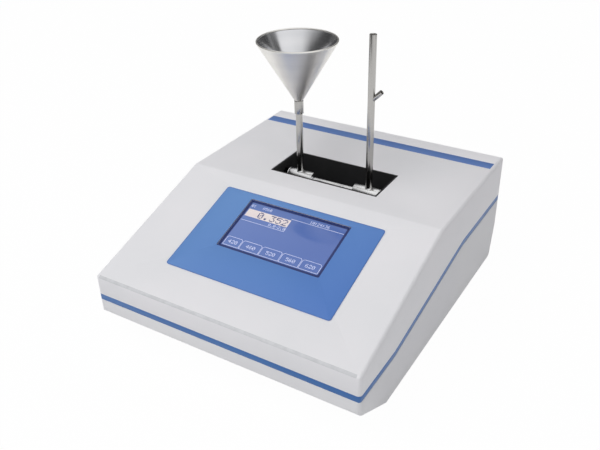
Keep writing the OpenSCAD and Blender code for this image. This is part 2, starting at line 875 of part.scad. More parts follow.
module rear_panel() {
    color("#8f9397") difference() {
        union() {
            translate([-rear_w / 2 - rear_flange, rear_in_y - sheet_t, rear_low - rear_flange])
                cube([rear_w + 2 * rear_flange, sheet_t, rear_h + 2 * rear_flange]);
            translate([-rear_w / 2, pan_y - sheet_t, rear_low]) cube([rear_w, rear_recess + sheet_t, rear_h]);
        }
        translate([-rear_w / 2 + sheet_t, pan_y, rear_low + sheet_t])
            cube([rear_w - 2 * sheet_t, rear_recess + over, rear_h - 2 * sheet_t]);
        panel_cut(-inlet_x, inlet_size);
        panel_cut(-switch_x, switch_size);
        for (x = port_xs) {
            panel_cut(x, port_size);
        }
        panel_cut(usb_x, usb_size);
        for (i = [0:vent_count - 1]) {
            panel_cut(usb_x + 18 + vent_pitch * i, vent_size);
        }
        for (x = rear_screw_xs) {
            for (z = rear_screw_zs) {
                rod_y(rear_screw_d + 2 * fit, rear_in_y - sheet_t - over, rear_in_y + over, x, z);
            }
        }
    }
}

// A rectangular hole through the panel's floor, with a gap round what goes in it
module panel_cut(x, size) {
    translate([x, pan_y, rear_mid_z])
        cube([size.x + 2 * gap, sheet_t * 3, size.y + 2 * gap], center = true);
}

module rear_panel_screws() {
    color(steel) {
        for (x = rear_screw_xs) {
            for (z = rear_screw_zs) {
                rod_y(rear_screw_d, rear_in_y - sheet_t - 0.5, back_y - 0.4, x, z);
                rod_y(rear_head_d, back_y - rear_head_h, back_y - 0.2, x, z);
            }
        }
    }
}

inlet_deep = 24;
socket_size = [24.6, 15];
socket_z = rear_mid_z - 7;
socket_deep = 16;
pin_size = [2, 4];
pin_dx = 7;
fuse_size = [22, 8];
fuse_z = rear_mid_z + 10;
fuse_deep = 18;
fuse_gap = 0.2;
flange_t = 2;
flange_face = pan_y + flange_t;

// A block set in the rear panel, from y1 to y2, centred on x and z
module rear_block(size, x, z, y1, y2) {
    translate([x - size.x / 2, y1, z - size.y / 2]) cube([size.x, y2 - y1, size.y]);
}

module mains_inlet() {
    color(black) difference() {
        union() {
            rear_block(inlet_size, -inlet_x, rear_mid_z, pan_y - inlet_deep, pan_y + over);
            rear_block(inlet_size + [5, 5], -inlet_x, rear_mid_z, pan_y, flange_face);
        }
        rear_block(socket_size, -inlet_x, socket_z, flange_face - socket_deep, flange_face + over);
        rear_block(fuse_size + 2 * fuse_gap * [1, 1], -inlet_x, fuse_z, flange_face - fuse_deep - fuse_gap,
            flange_face + over);
    }
    color(steel) {
        for (sx = [-1, 1]) {
            rear_block(pin_size, -inlet_x + sx * pin_dx, socket_z + 1, flange_face - socket_deep - over,
                flange_face - 4);
        }
        rear_block(pin_size, -inlet_x, socket_z + 4, flange_face - socket_deep - over, flange_face - 3);
    }
}

module fuse_drawer() {
    color(black) {
        rear_block(fuse_size, -inlet_x, fuse_z, flange_face - fuse_deep, flange_face);
        rear_block([fuse_size.x - 8, 2], -inlet_x, fuse_z - 2, flange_face - over, flange_face + 1.5);
    }
}

rocker_y = pan_y - 2;
rocker_pin_d = 2.4;
switch_deep = 18;

module switch_frame() {
    color(black) difference() {
        union() {
            rear_block(switch_size, -switch_x, rear_mid_z, pan_y - switch_deep, pan_y + over);
            rear_block(switch_size + [4, 4], -switch_x, rear_mid_z, pan_y, flange_face);
        }
        rear_block([rocker_w + 2 * gap, 2 * (rocker_half + 1.1)], -switch_x, rear_mid_z, pan_y - 13,
            flange_face + over);
        rod_x(rocker_pin_d + 0.1, -switch_x - rocker_w / 2 - 1.2, -switch_x + rocker_w / 2 + 1.2, rocker_y,
            rear_mid_z);
    }
}

// The rocker, tipped to its off side
module power_rocker() {
    color("#26262a") translate([-switch_x, rocker_y, rear_mid_z]) rotate([rocker_tilt, 0, 0]) {
        across([[-3, -rocker_half + 0.5], [3.4, -rocker_half], [1.8, 0], [3.4, rocker_half],
            [-3, rocker_half - 0.5]], rocker_w);
        rod_x(rocker_pin_d, -rocker_w / 2 - 1, rocker_w / 2 + 1, 0, 0);
    }
}

port_deep = 13;
port_board_y = pan_y - port_deep;
usb_deep = 8;
// How far the port board runs past the middle of its outer ports
port_board_side = 18;
port_board_h = 28;

module serial_ports() {
    for (x = port_xs) {
        color(steel) {
            rear_block(port_plate, x, rear_mid_z, pan_y, pan_y + port_plate_t);
            difference() {
                rear_block(port_shell, x, rear_mid_z, pan_y, pan_y + port_stand);
                rear_block(port_shell - 2 * port_shell_t * [1, 1], x, rear_mid_z, pan_y + port_stand - 2,
                    pan_y + port_stand + over);
            }
            rear_block(port_size, x, rear_mid_z, port_board_y + board_t, pan_y + port_plate_t / 2);
            for (sx = [-1, 1]) {
                rod_y(jack_d, pan_y, pan_y + port_stand - 1, x + sx * jack_x, rear_mid_z);
            }
        }
    }
}

module usb_port() {
    color(steel) difference() {
        rear_block(usb_size, usb_x, rear_mid_z, port_board_y + board_t, pan_y + 2);
        rear_block(usb_mouth, usb_x, rear_mid_z, pan_y - usb_deep, pan_y + 3);
    }
    color(black) rear_block(usb_tongue, usb_x, rear_mid_z + 1, pan_y - usb_deep - over, pan_y + 1);
}

module port_board() {
    color(board_green) rear_block([usb_x - port_xs[0] + 2 * port_board_side, port_board_h],
        (usb_x + port_xs[0]) / 2, rear_mid_z, port_board_y, port_board_y + board_t);
}

// Optical bench and chamber

liner_w = open_w - 2 * liner_gap;
liner_d = open_d - 2 * liner_gap;
window_seat = window_t + 1;
liner_post_x = 54;
liner_post_dy = 19;

module optical_bench() {
    color(alloy) difference() {
        block([bench_w, bench_d, bench_t], [0, beam_y, bench_z]);
        at_corners(pillar_x, pillar_dy, 0, beam_y)
            rod_z(small_hole_d, bench_z - over, bench_top + over, 0, 0);
    }
}

module bench_pillars() {
    color(steel) {
        at_corners(pillar_x, pillar_dy, 0, beam_y) difference() {
            rod_z(10, chassis_top, bench_z, 0, 0);
            rod_z(small_hole_d, bench_z - small_bite - over, bench_z + over, 0, 0);
        }
        at_corners(liner_post_x, liner_post_dy, 0, beam_y) rod_z(8, bench_top, liner_bottom, 0, 0);
    }
}

module chamber_liner() {
    color(black) difference() {
        union() {
            block([liner_w, liner_d, body_h - liner_gap - liner_bottom], [0, beam_y, liner_bottom]);
            block([liner_w + 2 * flange_w, liner_d + 2 * flange_w, 2], [0, beam_y, body_h - wall - 2]);
            rod_x(window_d + 4, -liner_w / 2 - window_seat, liner_w / 2 + window_seat, beam_y, beam_z);
        }
        block([liner_w - 2 * liner_wall, liner_d - 2 * liner_wall, body_h], [0, beam_y, liner_floor]);
        rod_x(port_bore, -body_w / 2, body_w / 2, beam_y, beam_z);
        for (sx = [0, 1]) {
            mirror([sx, 0, 0])
                rod_x(window_d + 2 * fit, liner_w / 2, liner_w / 2 + window_seat + over, beam_y, beam_z);
        }
        for (sx = [-1, 1]) {
            rod_z(small_hole_d, liner_bottom - over, liner_floor + over, sx * holder_screw_x, beam_y);
        }
    }
}

module both_ends() {
    children();
    mirror([1, 0, 0]) children();
}

module chamber_windows() {
    color(glass_tint) both_ends() rod_x(window_d, liner_w / 2, liner_w / 2 + window_t, beam_y, beam_z);
}

module window_rings() {
    color(black) both_ends() difference() {
        rod_x(window_d, liner_w / 2 + window_t, liner_w / 2 + window_seat, beam_y, beam_z);
        rod_x(window_d - 4, 0, body_w / 2, beam_y, beam_z);
    }
}

head_out = cell_l / 2 - 2;
head_in = head_out - head_l;
saddle_x = (head_in + head_out) / 2;
saddle_w = 14;
holder_d = head_d + 8;

module cell_holder() {
    color(black) difference() {
        union() {
            block([2 * saddle_x + saddle_w + 6, holder_d, holder_base_t], [0, beam_y, liner_floor]);
            for (sx = [-1, 1]) {
                block([saddle_w, holder_d, beam_z - 1 - liner_floor], [sx * saddle_x, beam_y, liner_floor]);
            }
        }
        rod_x(head_d + 2 * gap, -cell_l, cell_l, beam_y, beam_z);
        for (sx = [-1, 1]) {
            rod_z(small_hole_d, liner_floor - over, liner_floor + holder_base_t + over,
                sx * holder_screw_x, beam_y);
        }
    }
}

// Lamp, filter wheel and detector

barrel_bore = lens_d + 2 * fit;
barrel_flange_d = 20;
wheel_in = -wheel_off;
wheel_out = -wheel_off - wheel_t;
wheel_z = beam_z - filter_ring_r;
wheel_gap = 2;
lamp_out = -body_w / 2 + wall + lamp_end_gap;
lamp_in = lamp_out + lamp_l;
lamp_barrel_end = wheel_out - wheel_gap;
box_low = beam_z - 15.5;
box_h = 25;
box_wall = 2;
stand_t = 2;
barrel_flange_t = 3;
lens_in = 8;

// A bent sheet stand between the bench and a housing, open on the side of x1
module stand(x1, x2, half_d) {
    web = x2 > x1 ? x2 - stand_t : x2;
    low = min(x1, x2);
    translate([low, beam_y - half_d, box_low - stand_t]) cube([abs(x2 - x1), 2 * half_d, stand_t]);
    translate([low, beam_y - half_d, bench_top]) cube([abs(x2 - x1), 2 * half_d, stand_t]);
    translate([web, beam_y - half_d, bench_top]) cube([stand_t, 2 * half_d, box_low - bench_top]);
}

// A closed box of sheet, of length l from x and depth d, round the beam
module optics_box(x, l, d) {
    difference() {
        translate([x, beam_y - d / 2, box_low]) cube([l, d, box_h]);
        translate([x + box_wall, beam_y - d / 2 + box_wall, box_low + box_wall])
            cube([l - 2 * box_wall, d - 2 * box_wall, box_h - 2 * box_wall]);
    }
}

module lamp_stand() {
    color(alloy) stand(lamp_in, lamp_out, lamp_d / 2);
}

socket_bore = 12;
// How far the lamp's socket reaches into the housing, and the lamp's base and bulb past it
socket_in = 7;
lamp_base_l = 3;
bulb_l = 5;
bulb_d = 9;

module lamp_housing() {
    color(alloy) difference() {
        optics_box(lamp_out, lamp_l, lamp_d);
        rod_x(barrel_bore, lamp_in - box_wall - over, lamp_in + over, beam_y, beam_z);
        rod_x(socket_bore + 2 * fit, lamp_out - over, lamp_out + box_wall + over, beam_y, beam_z);
        for (i = [-3:3]) {
            translate([lamp_out + 5, beam_y + i * 4 - 1, box_low + box_h - box_wall - over])
                cube([lamp_l - 10, 2, box_wall + 2 * over]);
        }
    }
}

module lamp_socket() {
    color("#e9e4d8") rod_x(socket_bore, lamp_out - 1.5, lamp_out + socket_in, beam_y, beam_z);
}

module halogen_lamp() {
    bulb_x = lamp_out + socket_in + lamp_base_l;
    color(glass_tint) {
        rod_x(bulb_d - 1, lamp_out + socket_in, bulb_x, beam_y, beam_z);
        rod_x(bulb_d, bulb_x, bulb_x + bulb_l, beam_y, beam_z);
        translate([bulb_x + bulb_l, beam_y, beam_z]) sphere(d = bulb_d, $fn = 48);
    }
}

// A barrel from x1 to x2 with a flange at x1
module barrel(x1, x2) {
    difference() {
        union() {
            rod_x(barrel_d, min(x1, x2), max(x1, x2), beam_y, beam_z);
            rod_x(barrel_flange_d, x2 > x1 ? x1 : x1 - barrel_flange_t, x2 > x1 ? x1 + barrel_flange_t : x1,
                beam_y, beam_z);
        }
        rod_x(barrel_bore, min(x1, x2) - over, max(x1, x2) + over, beam_y, beam_z);
    }
}

module collimator_barrel() {
    color(black) barrel(lamp_in, lamp_barrel_end);
}

detector_in = liner_w / 2 + window_seat + 0.8;
detector_box = body_w / 2 - wall - detector_end_gap - detector_l;

module detector_barrel() {
    color(black) barrel(detector_box, detector_in);
}

// A plano-convex lens with its flat side at x, bulging towards +X when way is 1
module lens(x, way) {
    lens_r = lens_d * 0.9;
    edge = 1.6;
    translate([x, beam_y, beam_z]) mirror([way > 0 ? 0 : 1, 0, 0]) intersection() {
        rod_x(lens_d, 0, lens_d, 0, 0);
        translate([edge - sqrt(lens_r * lens_r - lens_d * lens_d / 4), 0, 0]) sphere(r = lens_r, $fn = 96);
    }
}

module beam_lenses() {
    color(glass_tint) {
        lens(lamp_barrel_end - lens_in, 1);
        lens(detector_in + lens_in, -1);
    }
}

hub_l = 3;
hub_d = 10;
hub_gap = 1;
shaft_d = 3;
// How far the shaft reaches into the motor
shaft_in = 8;
bracket_t = 2;
bracket_d = motor_d + 8;
bracket_foot_l = 18;
motor_face = wheel_out - hub_l - hub_gap - bracket_t;

module motor_bracket() {
    color(alloy) difference() {
        union() {
            translate([motor_face, beam_y - bracket_d / 2, bench_top])
                cube([bracket_t, bracket_d, wheel_z + motor_d / 2 + 1 - bench_top]);
            translate([motor_face - bracket_foot_l, beam_y - bracket_d / 2, bench_top])
                cube([bracket_foot_l + over, bracket_d, bracket_t]);
        }
        rod_x(hub_d - 2, motor_face - over, motor_face + bracket_t + over, beam_y, wheel_z);
    }
}

module wheel_motor() {
    color(steel) difference() {
        rod_x(motor_d, motor_face - motor_l, motor_face, beam_y, wheel_z);
        rod_x(shaft_d + 0.1, motor_face - shaft_in - over, motor_face + over, beam_y, wheel_z);
    }
}

module motor_shaft() {
    color(steel) rod_x(shaft_d, motor_face - shaft_in, wheel_in, beam_y, wheel_z);
}

// Places children at each filter, as seen along the wheel's axis
module at_filters() {
    for (i = [0:filter_count - 1]) {
        translate([0, beam_y, wheel_z]) rotate([i * 360 / filter_count, 0, 0])
            translate([0, 0, filter_ring_r]) children();
    }
}

module filter_wheel() {
    color(black) difference() {
        union() {
            rod_x(wheel_d, wheel_out, wheel_in, beam_y, wheel_z);
            rod_x(hub_d, wheel_out - hub_l, wheel_out + over, beam_y, wheel_z);
        }
        rod_x(shaft_d + 2 * fit, wheel_out - hub_l - over, wheel_in + over, beam_y, wheel_z);
        at_filters() rod_x(filter_d + 2 * fit, wheel_out - over, wheel_in + over, 0, 0);
    }
}

module colour_filters() {
    color("#c8a23a") at_filters() rod_x(filter_d, wheel_out + 1, wheel_in - 1, 0, 0);
}

module detector_stand() {
    color(alloy) stand(detector_box, detector_box + detector_l, detector_d / 2);
}

module detector_housing() {
    color(alloy) difference() {
        optics_box(detector_box, detector_l, detector_d);
        rod_x(barrel_bore, detector_box - over, detector_box + box_wall + over, beam_y, beam_z);
    }
}

module photodiode_board() {
    diode_x = detector_box + 8;
    diode_l = 4;
    in = box_wall + gap;
    color(steel) rod_x(8, diode_x, diode_x + diode_l, beam_y, beam_z);
    color(board_green) translate([diode_x + diode_l, beam_y - detector_d / 2 + in, box_low + in])
        cube([board_t, detector_d - 2 * in, box_h - 2 * in]);
}

// Flow cell

seat_deep = 8;
end_bore = 12;
seal_t = 1.5;
pane_t = 2;
spigot = 1.5;
riser_foot = beam_z + 3.5;

// An end head, drawn for the right side, for an upright tube of diameter d
module head(d) {
    difference() {
        rod_x(head_d, head_in, head_out, beam_y, beam_z);
        rod_x(cell_tube_d + 2 * fit, head_in - over, head_in + seat_deep, beam_y, beam_z);
        rod_x(cell_bore, head_in, head_out, beam_y, beam_z);
        rod_x(end_bore, head_out - seal_t - pane_t - spigot, head_out + over, beam_y, beam_z);
        rod_z(d + 2 * fit, riser_foot, beam_z + head_d, riser_x, beam_y);
        rod_z(cell_bore, beam_z, riser_foot + over, riser_x, beam_y);
    }
}

module inlet_head() {
    color(steel) mirror([1, 0, 0]) head(inlet_d);
}

module outlet_head() {
    color(steel) head(outlet_d);
}

module cell_tube() {
    color(steel) difference() {
        rod_x(cell_tube_d, -head_in - seat_deep, head_in + seat_deep, beam_y, beam_z);
        rod_x(cell_bore, -cell_l, cell_l, beam_y, beam_z);
    }
}

module cell_caps() {
    color(steel) both_ends() difference() {
        union() {
            rod_x(end_bore - 2 * fit, head_out - spigot, head_out + over, beam_y, beam_z);
            rod_x(head_d, head_out, head_out + 1, beam_y, beam_z);
            translate([head_out + 1, beam_y, beam_z]) rotate([0, 90, 0])
                cylinder(d1 = head_d, d2 = head_d - 2, h = 1, $fn = 64);
        }
        rod_x(6, head_in, head_out + 3, beam_y, beam_z);
    }
}

module cell_windows() {
    color(glass_tint) both_ends()
        rod_x(end_bore - 0.2, head_out - spigot - pane_t, head_out - spigot, beam_y, beam_z);
}

module cell_seals() {
    color(black) both_ends() difference() {
        rod_x(end_bore - 0.2, head_out - spigot - pane_t - seal_t, head_out - spigot - pane_t,
            beam_y, beam_z);
        rod_x(7, 0, cell_l, beam_y, beam_z);
    }
}

// An open tube standing in a head
module riser(d, x, top) {
    difference() {
        rod_z(d, riser_foot, top, x, beam_y);
        rod_z(riser_bore, riser_foot - over, top + over, x, beam_y);
    }
}

module inlet_tube() {
    color(steel) riser(inlet_d, -riser_x, inlet_top);
}

spout_bore = 3;

// A rod along the spout's axis, which leaves the outlet tube upwards to the right
module along_spout(d, from, to) {
    translate([riser_x, beam_y, spout_h]) rotate([0, 45, 0]) translate([0, 0, from])
        cylinder(d = d, h = to - from, $fn = 48);
}

module outlet_tube() {
    color(steel) difference() {
        riser(outlet_d, riser_x, outlet_top);
        along_spout(spout_bore, 0, spout_l);
    }
}

module side_spout() {
    color(steel) difference() {
        along_spout(spout_d, 0, spout_l);
        along_spout(spout_bore, -over, spout_l + over);
        rod_z(outlet_d + fit, spout_h - 20, spout_h + 20, riser_x, beam_y);
    }
}

// Funnel

cone_r = funnel_d / 2;
neck_r = funnel_neck_d / 2;
// Thickness of the cone's wall measured level
cone_wall = funnel_wall * norm([funnel_top - funnel_tip, cone_r - neck_r]) / (funnel_top - funnel_tip);
// Height at which the cone's inner face meets the outlet bore
throat_z = funnel_tip + (funnel_top - funnel_tip) * (riser_bore / 2 + cone_wall - neck_r) / (cone_r - neck_r);

module funnel() {
    color(steel) translate([-riser_x, beam_y, 0]) {
        rotate_extrude($fn = 128) polygon([
            [riser_bore / 2, funnel_tip],
            [neck_r, funnel_tip],
            [cone_r, funnel_top - rim_bead_d / 2],
            [cone_r - cone_wall, funnel_top - rim_bead_d / 2],
            [riser_bore / 2, max(throat_z, funnel_tip + 0.01)]
        ]);
        translate([0, 0, funnel_top - rim_bead_d / 2]) rotate_extrude($fn = 128)
            translate([cone_r - rim_bead_d / 2, 0]) circle(d = rim_bead_d, $fn = 24);
    }
}

slide_fit = 0.05;

module funnel_socket() {
    color(steel) difference() {
        rod_z(socket_d, funnel_tip - socket_l, funnel_tip, -riser_x, beam_y);
        rod_z(inlet_d + 2 * slide_fit, funnel_tip - socket_l - over, inlet_top + gap, -riser_x, beam_y);
        rod_z(riser_bore, funnel_tip - socket_l, funnel_tip + over, -riser_x, beam_y);
    }
}

upper_cover();
lower_tub();
seam_trim();
rear_strip();
panel_overlay();
screen_bezel();
screen_glass();
display_module();
display_ribbon();
rubber_feet();
foot_screws();
cover_screws();
chassis_plate();
small_screws();
main_board();
board_standoffs();
power_cage();
power_board();
rear_panel();
rear_panel_screws();
mains_inlet();
fuse_drawer();
switch_frame();
power_rocker();
serial_ports();
usb_port();
port_board();
optical_bench();
bench_pillars();
chamber_liner();
chamber_windows();
window_rings();
cell_holder();
lamp_stand();
lamp_housing();
lamp_socket();
halogen_lamp();
collimator_barrel();
beam_lenses();
motor_bracket();
wheel_motor();
motor_shaft();
filter_wheel();
colour_filters();
detector_stand();
detector_barrel();
detector_housing();
photodiode_board();
inlet_head();
outlet_head();
cell_tube();
cell_caps();
cell_windows();
cell_seals();
inlet_tube();
outlet_tube();
side_spout();
funnel();
funnel_socket();
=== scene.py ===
"""Looks of a benchtop colorimeter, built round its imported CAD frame.

Sizes are millimetres in the CAD frame: the origin is on the bench under the middle of the
housing, X points right, Y back and Z up. A finished piece is in metres, as the frame is.
"""
import logging
import math
from dataclasses import dataclass, field
from enum import Enum
from typing import Any, Optional, Sequence

import bmesh
import bpy
from mathutils import Euler, Matrix, Vector


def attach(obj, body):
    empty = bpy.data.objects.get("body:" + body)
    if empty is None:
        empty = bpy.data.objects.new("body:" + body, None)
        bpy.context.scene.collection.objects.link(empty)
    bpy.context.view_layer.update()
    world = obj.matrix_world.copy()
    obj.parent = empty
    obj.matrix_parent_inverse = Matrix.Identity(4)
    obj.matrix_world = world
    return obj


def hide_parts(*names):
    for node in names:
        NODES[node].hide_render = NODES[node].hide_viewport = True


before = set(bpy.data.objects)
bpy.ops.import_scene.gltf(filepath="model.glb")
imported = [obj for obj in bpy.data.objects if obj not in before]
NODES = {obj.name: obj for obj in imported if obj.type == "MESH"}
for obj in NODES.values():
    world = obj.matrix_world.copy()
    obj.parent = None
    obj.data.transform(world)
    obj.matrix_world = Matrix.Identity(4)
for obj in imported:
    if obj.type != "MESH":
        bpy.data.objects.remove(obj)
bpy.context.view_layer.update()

MM = 0.001
log = logging.getLogger("colorimeter")

Point2 = tuple[float, float]
Point3 = tuple[float, float, float]


# Small helpers


def linear(colour: str) -> tuple[float, float, float, float]:
    """Turns an sRGB hex colour into linear RGBA.

    Args:
        colour: the colour as "#rrggbb".

    Returns:
        The four linear channels, with alpha 1.
    """
    parts = [int(colour[i:i + 2], 16) / 255 for i in (1, 3, 5)]
    red, green, blue = (c / 12.92 if c <= 0.04045 else ((c + 0.055) / 1.055) ** 2.4 for c in parts)
    return red, green, blue, 1.0


def add_node(
    tree: bpy.types.NodeTree, kind: str, inputs: Optional[dict[Any, Any]] = None, **settings: Any
) -> bpy.types.Node:
    """Adds a shader node with its settings, values and links.

    Args:
        tree: the node tree that gets the node.
        kind: Blender's name of the node type.
        inputs: a value, or the socket to link from, for each input's name or index.
        settings: the node's own properties.

    Returns:
        The new node.
    """
    node = tree.nodes.new(kind)
    for key, value in settings.items():
        setattr(node, key, value)
    for key, value in (inputs or {}).items():
        if isinstance(value, bpy.types.NodeSocket):
            tree.links.new(value, node.inputs[key])
        else:
            node.inputs[key].default_value = value
    return node


def along(axis: str, at: Point3) -> Matrix:
    """Gives the place of a shape that is spun round Z.

    Args:
        axis: the axis that the shape's Z is turned to: "X", "Y" or "Z".
        at: where its own origin goes.

    Returns:
        The place as a matrix in millimetres.
    """
    turn = {"X": Euler((0, math.pi / 2, 0)), "Y": Euler((-math.pi / 2, 0, 0)), "Z": Euler((0, 0, 0))}
    return Matrix.Translation(at) @ turn[axis].to_matrix().to_4x4()


# Finishes


class Lay(Enum):
    """The way in which a surface's fine pattern is drawn out, as a factor for each axis."""

    EVEN = (1.0, 1.0, 1.0)
    LONG_X = (0.03, 1.0, 1.0)
    LONG_Z = (1.0, 1.0, 0.03)
    RINGS_ROUND_X = (1.0, 0.02, 0.02)
    RINGS_ROUND_Z = (0.02, 0.02, 1.0)


@dataclass(frozen=True)
class Finish:
    """An opaque surface: what it is made of and how it was worked.

    Args:
        name: the material's name.
        colour: its main colour, sRGB hex.
        shade: the colour that it drifts to over cloud_mm.
        metallic: 1 for a bare metal.
        roughness: its least and most roughness.
        grain_mm: the size of its finest pattern.
        relief_mm: the height of that pattern.
        cloud_mm: the size of the slow drift of colour.
        lay: the way in which the pattern is drawn out.
        ior: index of refraction; a metal keeps the default.
        coat: weight of a clear coat.
        sheen: weight of a dusty sheen.
        glow: strength of the light that it gives off.
    """

    name: str
    colour: str
    shade: str
    metallic: float = 0.0
    roughness: Point2 = (0.4, 0.5)
    grain_mm: float = 1.0
    relief_mm: float = 0.01
    cloud_mm: float = 60.0
    lay: Lay = Lay.EVEN
    ior: float = 1.5
    coat: float = 0.0
    sheen: float = 0.0
    glow: float = 0.0

    def material(self) -> bpy.types.Material:
        """Gives the finish's material, which is made once."""
        known = bpy.data.materials.get(self.name)
        return known or self.build()

    def build(self) -> bpy.types.Material:
        """Makes the material's nodes.

        Returns:
            The new material.
        """
        made = bpy.data.materials.new(self.name)
        made.use_nodes = True
        tree = made.node_tree
        tree.nodes.clear()
        place = add_node(tree, "ShaderNodeTexCoord").outputs["Object"]
        drawn = add_node(tree, "ShaderNodeMapping", {"Vector": place, "Scale": self.lay.value}).outputs["Vector"]
        cloud = add_node(tree, "ShaderNodeTexNoise", {
            "Vector": drawn, "Scale": 1 / (self.cloud_mm * MM), "Detail": 3.0, "Roughness": 0.5})
        grain = add_node(tree, "ShaderNodeTexNoise", {
            "Vector": drawn, "Scale": 1 / (self.grain_mm * MM), "Detail": 2.0, "Roughness": 0.6})
        tint = add_node(tree, "ShaderNodeMix", {
            0: self.drift(tree, cloud.outputs["Fac"]), 6: linear(self.colour), 7: linear(self.shade)},
            data_type="RGBA")
        rough = add_node(tree, "ShaderNodeMapRange", {
            "Value": grain.outputs["Fac"], "From Min": 0.3, "From Max": 0.7,
            "To Min": self.roughness[0], "To Max": self.roughness[1]})
        bump = add_node(tree, "ShaderNodeBump", {
            "Height": grain.outputs["Fac"], "Strength": 1.0, "Distance": self.relief_mm * MM})
        shader = add_node(tree, "ShaderNodeBsdfPrincipled", {
            "Base Color": tint.outputs[2], "Metallic": self.metallic, "Roughness": rough.outputs[0],
            "Normal": bump.outputs["Normal"], "Coat Weight": self.coat, "Coat Roughness": 0.08,
            "Sheen Weight": self.sheen})
        if not self.metallic:
            shader.inputs["IOR"].default_value = self.ior
        if self.glow:
            tree.links.new(tint.outputs[2], shader.inputs["Emission Color"])
            shader.inputs["Emission Strength"].default_value = self.glow
        add_node(tree, "ShaderNodeOutputMaterial", {"Surface": shader.outputs[0]})
        return made

    def drift(self, tree: bpy.types.NodeTree, cloud: bpy.types.NodeSocket) -> bpy.types.NodeSocket:
        """Gives the share of the shade colour over the surface.

        Args:
            tree: the material's node tree.
            cloud: the slow noise.

        Returns:
            The socket that carries the share.
        """
        return add_node(tree, "ShaderNodeMapRange", {
            "Value": cloud, "From Min": 0.35, "From Max": 0.65}).outputs[0]


@dataclass(frozen=True)
class Graded(Finish):
    """A finish whose colour also drifts evenly from one point to another.

    Args:
        start: the point, in millimetres, up to which the colour stays plain.
        end: the point from which it is all shade.
    """

    start: Point3 = (0.0, 0.0, 0.0)
    end: Point3 = (0.0, 100.0, 0.0)

    def drift(self, tree: bpy.types.NodeTree, cloud: bpy.types.NodeSocket) -> bpy.types.NodeSocket:
        """Adds the even drift to the slow noise.

        Args:
            tree: the material's node tree.
            cloud: the slow noise.

        Returns:
            The socket that carries the share.
        """
        way = (Vector(self.end) - Vector(self.start)) * MM
        place = add_node(tree, "ShaderNodeTexCoord").outputs["Object"]
        run = add_node(tree, "ShaderNodeVectorMath", {
            0: place, 1: way / way.length_squared}, operation="DOT_PRODUCT").outputs["Value"]
        offset = Vector(self.start) * MM @ way / way.length_squared
        wave = add_node(tree, "ShaderNodeMath", {0: cloud, 1: 0.3, 2: -0.15 - offset}, operation="MULTIPLY_ADD")
        return add_node(tree, "ShaderNodeMath", {
            0: run, 1: wave.outputs[0]}, operation="ADD", use_clamp=True).outputs[0]


@dataclass(frozen=True)
class Clear:
    """A clear or tinted glass.

    Args:
        name: the material's name.
        colour: its tint.
        shade: the tint that it drifts to.
        roughness: how far the surface blurs what is seen through it.
    """

    name: str
    colour: str
    shade: str
    roughness: float = 0.03

    def material(self) -> bpy.types.Material:
        """Gives the glass's material, which is made once."""
        known = bpy.data.materials.get(self.name)
        return known or self.build()

    def build(self) -> bpy.types.Material:
        """Makes the material's nodes.

        Returns:
            The new material.
        """
        made = bpy.data.materials.new(self.name)
        made.use_nodes = True
        tree = made.node_tree
        tree.nodes.clear()
        place = add_node(tree, "ShaderNodeTexCoord").outputs["Object"]
        noise = add_node(tree, "ShaderNodeTexNoise", {"Vector": place, "Scale": 1 / (4.0 * MM), "Detail": 2.0})
        tint = add_node(tree, "ShaderNodeMix", {
            0: noise.outputs["Fac"], 6: linear(self.colour), 7: linear(self.shade)}, data_type="RGBA")
        bump = add_node(tree, "ShaderNodeBump", {
            "Height": noise.outputs["Fac"], "Strength": 1.0, "Distance": 0.002 * MM})
        shader = add_node(tree, "ShaderNodeBsdfPrincipled", {
            "Base Color": tint.outputs[2], "Roughness": self.roughness, "IOR": 1.5,
            "Transmission Weight": 1.0, "Normal": bump.outputs["Normal"]})
        add_node(tree, "ShaderNodeOutputMaterial", {"Surface": shader.outputs[0]})
        return made


# Powder coated sheet and moulding: a satin skin with the faint ripple of fused powder
COVER_PAINT = Finish("powder_coat_light_grey", "#ecebed", "#e8e8ea", roughness=(0.50, 0.60),
                     grain_mm=1.6, relief_mm=0.004, cloud_mm=90)
# The tub's coat is the cover's made a little darker: painted shade on the lower housing
TUB_PAINT_SHADED = Finish("powder_coat_light_grey_tub_painted_shade", "#e4e4e5", "#e0e0e2", roughness=(0.50, 0.60),
                   grain_mm=1.6, relief_mm=0.004, cloud_mm=90)
# Painted shade along the front fold: the same coat, a little greyer and blotched, laid as a strip where the rounded
# lip falls into shade
FOLD_PAINTED_SHADE = Finish("powder_coat_painted_fold_shade", "#cdced0", "#d8d9db", roughness=(0.55, 0.65),
                   grain_mm=1.2, relief_mm=0.003, cloud_mm=7)
# Moulded ABS in deep blue: satin, with the fine texture of the mould
TRIM_BLUE = Finish("moulded_abs_blue", "#2b66a9", "#336cae", roughness=(0.34, 0.46),
                   grain_mm=0.7, relief_mm=0.003, cloud_mm=50)
STRIP_BLUE = Finish("moulded_abs_soft_blue", "#5a7cba", "#6082be", roughness=(0.36, 0.48),
                    grain_mm=0.7, relief_mm=0.003, cloud_mm=50)
# Polycarbonate film printed on its back: fine matte in front; its blue, paler up the slope towards the upper left, is
# painted light
PANEL_FILM_PAINTED_LIGHT = Graded("printed_polycarbonate_film_painted_light", "#4c79c2", "#6490cb", roughness=(0.38, 0.50),
                    grain_mm=0.5, relief_mm=0.0015, cloud_mm=70,
                    start=(80.0, -150.0, 70.0), end=(-60.0, -25.0, 106.0))
# Painted shade: a darker blue line round the film's edge, for the shadow of its thickness
FILM_EDGE_SHADE = Finish("film_edge_painted_shade", "#3c62a6", "#446bb0", roughness=(0.36, 0.46),
                   grain_mm=0.5, relief_mm=0.001, cloud_mm=40)
BEZEL_BLUE = Finish("moulded_frame_navy", "#1b2b66", "#22346f", roughness=(0.30, 0.42),
                    grain_mm=0.5, relief_mm=0.002, cloud_mm=30)
